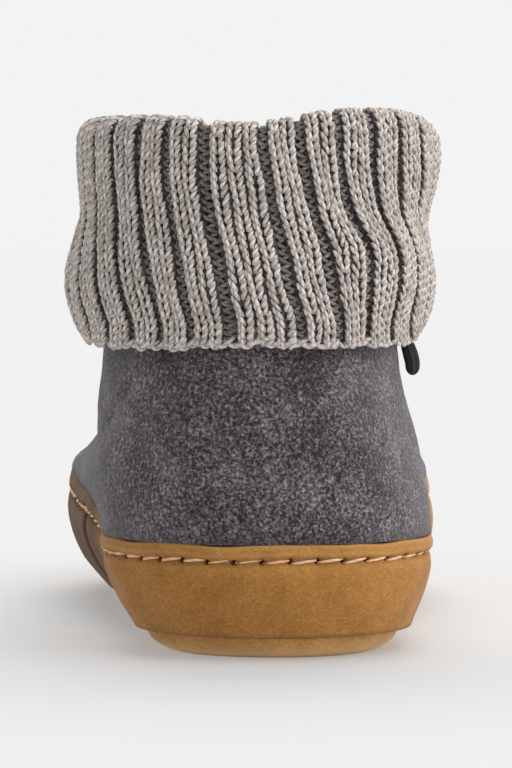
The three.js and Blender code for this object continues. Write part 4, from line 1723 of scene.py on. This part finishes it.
    def drifted(self, way: Array, along: Array) -> Array:
        """Turn of a place on the fabric, whose ribs wander from their places at the ribs' own level.

        The wandering is read between the kept shifts of the troughs, level by level. A little wave is added.

        Args:
            way: Distance round the cuff at mid-height.
            along: Millimetres from the hem.

        Returns:
            Turns in radians.
        """
        at = np.mod(way - self.knots[0], self.way[-1]) + self.knots[0]
        i = np.clip(np.searchsorted(self.knots, at, side="right") - 1, 0, len(self.knots) - 2)
        across = (at - self.knots[i]) / (self.knots[i + 1] - self.knots[i])
        level = np.clip(along / self.length, 0.0, 1.0) * (self.grid_steps - 1)
        j = np.minimum(np.floor(level).astype(int), self.grid_steps - 2)
        low = mix(self.shifts[j, i], self.shifts[j, i + 1], across)
        high = mix(self.shifts[j + 1, i], self.shifts[j + 1, i + 1], across)
        wave = 0.2 * np.sin(way * 0.9 + along * 0.21) * smooth(along, 0.0, 12.0)
        return self.turn_at(way) + mix(low, high, level - j) + wave / self.turning

    def build(self, finishes: Finishes) -> None:
        """Makes the ground, the ribs' stitches, the troughs' purl bumps, the hem and the loose fibres.

        Args:
            finishes: The materials.
        """
        self.ground(finishes)
        self.ribs(finishes)
        self.purls(finishes)
        self.hem(finishes)
        self.fuzz(finishes)

    def ground(self, finishes: Finishes) -> None:
        """The knit's ground wall: it lies under the yarn, and sinks further in the troughs. Its dark colour,
        darker still in the troughs, is painted shade.

        Args:
            finishes: The materials.
        """
        way = np.linspace(0.0, self.way[-1], self.columns, endpoint=False)
        outside = np.linspace(1.0, self.fold_along + 16.0, 56)
        along = np.concatenate([outside, np.linspace(self.fold_along + 20.0, self.length, 14)])
        turn = self.drifted(way[None, :], along[:, None])
        p, normal = self.read(turn, along[:, None])
        sink = self.ground_sink + self.relief * (1.0 - self.rib_height(way))[None, :]
        outer = p - normal * sink[..., None]
        brow, inside, collar = self.brow(), -self.wall - self.clearance, FORM.collar_height
        back = [(self.root_height + 0.5, inside - 1.2), (self.root_height + 1.0, inside), (83.0, inside)]
        back += [(collar, inside), (collar + 0.6, inside)]
        back += [(self.at_rise(0.5), inside + 0.6 * self.knit), (self.at_rise(0.74), brow - 1.35 * self.knit)]
        back += [(self.at_rise(0.84), brow - 1.22 * self.knit), (self.at_rise(0.74), brow - 1.05 * self.knit)]
        back += [(self.at_rise(0.5), 0.28 * self.swell), (collar + 0.6, 3.6)]
        back += [(self.at_rise(0.14), 3.0), (self.at_rise(0.03), 2.5)]
        turns = mix(turn[-1:], turn[:1], np.linspace(0.0, 1.0, len(back))[:, None])
        heights, outs = (np.array(values)[:, None] + 0 * turns for values in zip(*back))
        rings = np.concatenate([outer, self.stand_off(turns, heights, outs)])
        ground = skin("knit_ground", self.place, FORM.finish_height(rings), True, (1.0, 0.5))
        shade = np.zeros(rings.shape[:2])
        # Painted shade: darker in the troughs between the ribs.
        shade[: len(along)] = 0.6 * (1.0 - self.rib_height(way))[None, :]
        paint(ground, "shade", shade)
        dress(ground, finishes.ground, Slot.KNIT, "cuff")
        LOG.info("cuff: %d ribs, path %.0f mm", len(self.rib_edges) - 1, self.length)

    def rib_height(self, way: Array) -> Array:
        """Height of the ribbing at distances round the cuff: 1 on a rib's flat top, 0 in a trough."""
        edges = self.rib_edges
        at = np.mod(way - edges[0], self.way[-1]) + edges[0]
        i = np.clip(np.searchsorted(edges, at, side="right") - 1, 0, len(edges) - 2)
        before = (at - edges[i]) / self.trough_widths[i]
        after = (edges[i + 1] - at) / self.trough_widths[i + 1]
        return smooth(2.0 * np.minimum(before, after), 0.35, 1.4)

    def wales(self) -> tuple[Array, Array]:
        """The knit columns on the ribs: two on each rib, and three on the wide one.

        Returns:
            Distance round the cuff of each column's middle, and its width.
        """
        middles, widths = [], []
        for i in range(len(self.rib_edges) - 1):
            start = self.rib_edges[i] + self.trough_widths[i] / 2
            end = self.rib_edges[i + 1] - self.trough_widths[i + 1] / 2
            count = 3 if i == self.wide_rib else 2
            width = (end - start) / count
            for k in range(count):
                middles.append(start + width * (k + 0.5))
                widths.append(width)
        return np.array(middles), np.array(widths)

    def beads(
        self, way: Array, along: Array, lift: Array, radii: Array, sides: int, flat: float
    ) -> tuple[Array, Array, Array]:
        """Beads of yarn along lines on the fabric.

        Args:
            way: Distances round the cuff, with the steps along a bead on the last axis.
            along: Millimetres from the hem.
            lift: How far the middle lines stand off the smooth face.
            radii: The beads' radii, in the shape of way.
            sides: Points round a bead.
            flat: Height of a bead's section as a share of its width.

        Returns:
            Points, triangles and texture places.
        """
        p, normal = self.read(self.drifted(way, along), along)
        steps = way.shape[-1]
        centres = (p + normal * lift[..., None]).reshape(-1, steps, 3)
        return sweep(centres, normal.reshape(-1, steps, 3), radii.reshape(-1, steps), sides, flat)

    def legs(
        self, low: float, high: float, seed: int, steps: int, sides: int
    ) -> tuple[Array, Array, Array]:
        """Stitch legs of the knit columns: two leaning beads for each course, which make a V.

        A leg's middle line leans from near the column's middle, at its foot, out to the column's edge, at its
        head. It stands proud in the middle and dips under its neighbours at both ends.

        Args:
            low: First millimetre along.
            high: Last millimetre along.
            seed: Source of the small differences between stitches.
            steps: Points along a leg.
            sides: Points round a leg.

        Returns:
            Points, triangles and texture places.
        """
        rng = np.random.default_rng(seed)
        middle, width = self.wales()
        courses = np.arange(low, high, self.course)
        shape = (len(middle), len(courses), 2)
        hand = np.array([-1.0, 1.0])[None, None, :]
        phase = 0.35 * self.course * np.sin(np.arange(len(middle)) * 2.4)[:, None, None]
        start = courses[None, :, None] + phase + rng.normal(0.0, 0.11, shape)
        w = (width[:, None, None] * (1.0 + rng.normal(0.0, 0.04, shape)))[..., None]
        t = np.linspace(0.0, 1.0, steps)
        aside = hand[..., None] * w * (self.leg_foot + self.leg_lean * smooth(t, 0.05, 0.95))
        way = middle[:, None, None, None] + aside + rng.normal(0.0, 0.09, shape)[..., None]
        along = start[..., None] + (t - 0.5) * self.course * self.leg_courses
        crown = self.relief * (self.rib_height(way) - 1.0) * 0.75
        proud = -0.45 + self.yarn * 1.3 * np.sin(math.pi * (0.1 + 0.8 * t)) - 0.35 * t
        lift = crown + proud + rng.normal(0.0, 0.05, shape)[..., None]
        plump = 0.72 + 0.28 * np.sin(math.pi * t) ** 0.8
        thick = self.yarn * plump * (1.0 + rng.normal(0.0, 0.09, shape))[..., None]
        return self.beads(way, along, lift, thick, sides, 0.92)

    def ribs(self, finishes: Finishes) -> None:
        """Builds the stitch legs as three pieces: outside, fold and inside.

        Args:
            finishes: The materials.
        """
        first, turned, last = 2.6, self.fold_along, self.length - 2.0
        courses = np.arange(first, last, self.course)
        stretches = (
            ("knit_ribs_lower", first, turned * 0.5, Seed.LOWER_LEGS, 5, 6),
            ("knit_ribs_upper", turned * 0.5, turned + 4.0, Seed.UPPER_LEGS, 5, 6),
            ("knit_ribs_inside", turned + 4.0, last, Seed.INSIDE_LEGS, 4, 5),
        )
        for name, low, high, seed, steps, sides in stretches:
            chosen = courses[(courses >= low) & (courses < high)]
            end = chosen[-1] + 0.5 * self.course
            beads = self.legs(chosen[0], end, seed.value, steps, sides)
            count = len(beads[0]) // (steps * sides + 2)
            rng = np.random.default_rng(seed.value + 100)
            tones = 0.02 + 0.5 * rng.uniform(0.0, 1.0, count) ** 2
            lay_yarn(name, self.place, beads, tones, finishes.knit, Slot.KNIT)

    def purls(self, finishes: Finishes) -> None:
        """The purl bumps in the troughs: short arches that cross them in a zigzag, in a darker copy of the
        yarn, which paints the troughs' shade.

        Args:
            finishes: The materials.
        """
        rng = np.random.default_rng(Seed.PURLS.value)
        edges, widths = self.rib_edges[:-1], self.trough_widths[:-1, None, None]
        courses = np.arange(2.0, self.fold_along + 14.0, self.course * 0.5)
        shape = (len(edges), len(courses))
        t = np.linspace(0.0, 1.0, 4)
        side = np.where(np.arange(len(courses)) % 2 == 0, -1.0, 1.0)[None, :, None]
        way = edges[:, None, None] + side * 0.16 * widths + (t - 0.5) * widths * 0.8
        way = way + rng.normal(0.0, 0.1, shape)[..., None]
        along = courses[None, :, None] + side * (t - 0.5) * 1.3 + rng.normal(0.0, 0.14, shape)[..., None]
        lift = -self.relief - 0.1 + 0.6 * np.sin(math.pi * t) + rng.normal(0.0, 0.08, shape)[..., None]
        radii = np.broadcast_to(self.yarn * self.purl_size, way.shape)
        beads = self.beads(way, along, lift, radii, 4, 0.9)
        tones = 0.5 * rng.uniform(0.0, 1.0, shape[0] * shape[1])
        lay_yarn("knit_purls", self.place, beads, tones, finishes.purl, Slot.KNIT)

    def hem(self, finishes: Finishes) -> None:
        """The cast-off edge: chunky loops along the hem that lean over each other.

        Args:
            finishes: The materials.
        """
        rng = np.random.default_rng(Seed.HEM.value)
        count = round(self.way[-1] / self.loop_pitch)
        way0 = np.arange(count) * self.way[-1] / count + rng.normal(0.0, 0.3, count)
        t = np.linspace(0.0, 1.0, 7)
        reach = self.loop_length * (1.0 + rng.normal(0.0, 0.16, (count, 1)))
        way = way0[:, None] + (t[None, :] - 0.5) * reach
        arch = np.sin(math.pi * t)[None, :]
        sag = np.abs(rng.normal(0.0, 0.7, (count, 1)))
        along = 2.5 - (1.5 - sag) * arch + (t[None, :] - 0.5) * rng.normal(0.9, 0.7, (count, 1))
        lift = -0.9 + 0.8 * arch + rng.normal(0.0, 0.2, (count, 1)) + 0.6 * (self.rib_height(way) - 0.6)
        radii = self.yarn * self.loop_size * (0.72 + 0.28 * arch) * (1.0 + rng.normal(0.0, 0.1, (count, 1)))
        beads = self.beads(way, along, lift, radii, 7, 0.95)
        tones = rng.uniform(0.05, 0.35, count)
        lay_yarn("knit_hem", self.place, beads, tones, finishes.knit, Slot.KNIT)

    def fuzz(self, finishes: Finishes) -> None:
        """Loose fibres that halo the ribs.

        Args:
            finishes: The materials.
        """
        rng = np.random.default_rng(Seed.KNIT_FIBRES.value)
        count = self.fibres
        way = rng.uniform(0.0, self.way[-1], count)
        along = rng.uniform(0.5, self.fold_along + 8.0, count)
        turn = self.drifted(way, along)
        p, normal = self.read(turn, along)
        root = p + normal * (0.3 + self.relief * (self.rib_height(way) - 1.0))[:, None]
        verts, faces = FibreTuft(length=(0.7, 2.2), width=0.04, lean=0.5).grow(rng, root, normal)
        piece = mesh_object("knit_fibres", self.place, FORM.finish_height(verts), faces)
        paint(piece, "shade", np.repeat(rng.uniform(0.2, 1.0, count), len(verts) // count))
        dress(piece, finishes.knit_hair, Slot.KNIT)


# Side tab


@dataclass
class SideTab:
    """A folded ribbon that hangs from under the hem on the outer side."""

    place: Placement
    width: float = 12.0
    top: float = 80.0
    bottom: float = 66.5
    layer: float = 1.5
    along: float = 52.0
    lean_out: float = 1.0
    straight: float = 0.84
    clearance: float = 0.3

    def build(self, finishes: Finishes) -> None:
        """Makes the folded strip: two layers joined by a round loop at the foot, carried across its width.

        Args:
            finishes: The materials.
        """
        turn_x = FORM.reach(np.zeros(1), np.array([self.along]), np.array([self.top]), 1.0, 0.0)
        top_point = np.array([turn_x[0], self.along, self.top])
        low_x = FORM.reach(np.zeros(1), np.array([self.along]), np.array([self.bottom]), 1.0, 0.0)
        normal = FORM.normal(top_point)
        turn = math.atan2(normal[1], normal[0])
        flare = float(low_x[0] - turn_x[0])
        profile = self.profile(flare, self.top - self.bottom)
        across = np.linspace(-0.5, 0.5, 25) * self.width
        edge = np.minimum(1.0, (self.width / 2 - np.abs(across)) / 0.35 + 0.35)
        middle = profile.mean(axis=0)
        sections = middle + (profile[None] - middle) * np.where(edge < 1.0, 0.985, 1.0)[:, None, None]
        x, z = sections[..., 0] + self.clearance, sections[..., 1]
        y = np.broadcast_to(across[:, None], x.shape)
        rings = np.stack([x, y, z], axis=-1)
        rings = np.concatenate([self.cap(rings[:1]), rings, self.cap(rings[-1:])])
        turned = rings.copy()
        turned[..., 0] = rings[..., 0] * math.cos(turn) - rings[..., 1] * math.sin(turn) + top_point[0]
        turned[..., 1] = rings[..., 0] * math.sin(turn) + rings[..., 1] * math.cos(turn) + top_point[1]
        turned[..., 2] = rings[..., 2] + self.top
        tab = skin("ribbon_tab", self.place, FORM.finish_height(turned), False, (0.5, 0.42))
        dress(tab, finishes.ribbon, Slot.TAB, "side_tab")

    def profile(self, flare: float, drop: float) -> Array:
        """Closed section of the folded ribbon, x out of the felt and z down from its top.

        Args:
            flare: How far the felt's flank comes out over the drop.
            drop: Length of the tab.

        Returns:
            Points round the section, counted so that the skin's faces point out.
        """
        t = np.linspace(0.0, 1.0, 16)
        flare += self.lean_out
        back = np.stack([flare * t**1.4, -drop * self.straight * t], -1)
        a = np.linspace(math.pi, TAU, 14)[1:-1]
        radius = 1.2 * self.layer
        loop = np.stack([flare + radius + radius * np.cos(a), -drop * 0.86 + radius * 1.35 * np.sin(a)], -1)
        front_x = mix(flare + 2 * radius, 1.9 * self.layer, smooth(t, 0.0, 0.9))
        front = np.stack([front_x, -drop * self.straight * (1.0 - t)], -1)
        return np.concatenate([back, loop, front])

    def cap(self, ring: Array) -> Array:
        """An end ring drawn together onto its own middle line, which closes the end flat."""
        return (ring + ring[:, ::-1]) / 2.0


# Room, lights and camera


@dataclass(frozen=True)
class Studio:
    """A pale floor, an even pale surround, three wide soft suns, and the camera straight behind the heel."""

    place: Placement
    surround: Rgba = srgb(243, 243, 243)
    floor_tone: Rgba = (0.8, 0.8, 0.8, 1.0)
    ambient: float = 0.56
    floor_glow: float = 0.28
    glow_strength: float = 0.986
    floor_half: float = 6000.0
    camera_back: float = 1050.0
    camera_height: float = 114.0
    camera_x: float = 0.0
    focal_px: float = 2490.0
    photo_principal: tuple[float, float] = (389.5, 375.0)
    frame_middle: tuple[float, float] = (386.0, 489.0)
    frame_width_px: float = 284.0
    sensor_mm: float = 36.0

    def build(self) -> None:
        """Sets up the floor, the surround, the lights and the camera."""
        floor = self.floor()
        self.world()
        self.sun("key", (0.7, -0.3, 1.0), 60.0, 0.2)
        self.sun("back", (0.05, 0.75, 1.0), 50.0, 0.4)
        side = self.sun("side", (1.0, -0.4, 0.45), 60.0, 0.18)
        spared = bpy.data.collections.new("spared_by_side_light")
        spared.objects.link(floor)
        spared.collection_objects[0].light_linking.link_state = "EXCLUDE"
        side.light_linking.receiver_collection = spared
        self.camera()

    def floor(self) -> bpy.types.Object:
        """A wide plain floor, which glows a little so that shadows on it stay pale."""
        half = self.floor_half
        verts = np.array([[-half, -half, 0.0], [half, -half, 0.0], [half, half, 0.0], [-half, half, 0.0]])
        floor = mesh_object("studio_floor", self.place, verts, np.array([[0, 1, 2, 3]]))
        material, sheet = start_material("studio_paper")
        paper = sheet.node("ShaderNodeBsdfDiffuse", {"Color": self.floor_tone})
        glow = sheet.node("ShaderNodeEmission", {"Color": self.surround, "Strength": self.glow_strength})
        shares = {0: self.floor_glow, 1: paper.outputs[0], 2: glow.outputs[0]}
        both = sheet.node("ShaderNodeMixShader", shares)
        sheet.node("ShaderNodeOutputMaterial", {"Surface": both.outputs[0]})
        floor.data.materials.append(material)
        return floor

    def world(self) -> None:
        """A surround that the camera sees in the floor's lit tone and that lights the shoe more weakly."""
        world = bpy.data.worlds.new("studio_surround")
        world.use_nodes = True
        world.node_tree.nodes.clear()
        sheet = Sheet(world.node_tree)
        glow = sheet.node("ShaderNodeBackground", {"Color": self.surround, "Strength": self.ambient})
        seen = sheet.node("ShaderNodeBackground", {"Color": self.surround, "Strength": 1.0})
        direct = sheet.node("ShaderNodeLightPath").outputs["Is Camera Ray"]
        both = sheet.node("ShaderNodeMixShader", {0: direct, 1: glow.outputs[0], 2: seen.outputs[0]})
        sheet.node("ShaderNodeOutputWorld", {"Surface": both.outputs[0]})
        bpy.context.scene.world = world

    def sun(
        self, name: str, towards: tuple[float, float, float], wide: float, share: float
    ) -> bpy.types.Object:
        """An even light over the whole floor, with shadows as soft as it is wide.

        Args:
            name: The light's name.
            towards: Direction from the shoe to the light.
            wide: Its width in degrees.
            share: Brightness that it gives a white floor, where 1 is a floor as bright as the surround.

        Returns:
            The lamp.
        """
        data = bpy.data.lights.new(name, "SUN")
        data.angle = math.radians(wide)
        up = towards[2] / float(np.linalg.norm(towards))
        data.energy = share * math.pi / up
        lamp = bpy.data.objects.new(name, data)
        lamp.location = np.array(towards) * 3.0
        lamp.rotation_euler = look_rotation(-np.array(towards))
        bpy.context.scene.collection.objects.link(lamp)
        return lamp

    def camera(self) -> None:
        """The photo's camera: its level height, distance and focal length, framed on the one shoe."""
        right = (self.frame_middle[0] - self.photo_principal[0]) / self.focal_px
        down = (self.frame_middle[1] - self.photo_principal[1]) / self.focal_px
        data = bpy.data.cameras.new("camera")
        data.sensor_fit = "HORIZONTAL"
        data.sensor_width = self.sensor_mm
        data.lens = self.focal_px / self.frame_width_px * self.sensor_mm
        data.clip_start, data.clip_end = 0.01, 100.0
        camera = bpy.data.objects.new("camera", data)
        camera.location = self.place.metres(np.array([self.camera_x, -self.camera_back, self.camera_height]))
        camera.rotation_euler = look_rotation(np.array([right, 1.0, -down]))
        bpy.context.scene.collection.objects.link(camera)
        bpy.context.scene.camera = camera


def look_rotation(direction: Array) -> tuple[float, float, float]:
    """Euler angles that point an object's -Z along a direction with its top up."""
    x, y, z = (float(v) for v in direction)
    flat = math.hypot(x, y)
    return (math.atan2(flat, -z), 0.0, math.atan2(-x, y))


def main() -> None:
    """Loads the frame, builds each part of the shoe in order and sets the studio."""
    logging.basicConfig(level=logging.INFO, format="%(name)s: %(message)s")
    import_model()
    place = Placement()
    LOG.info("shoe to part shift in mm: %s", np.round(place.shift, 2).tolist())
    Studio(place).build()
    finishes = Finishes()
    cup = SuedeCup(place)
    upper = FeltUpper(place)
    cup.build(finishes)
    upper.build(cup, finishes)
    Outsole(place).build(cup, finishes)
    Insole(place).build(cup, upper, finishes)
    FoldedCuff(place).build(finishes)
    SideTab(place).build(finishes)
    bpy.context.scene.view_settings.view_transform = "Standard"


if __name__ == "__main__":
    main()
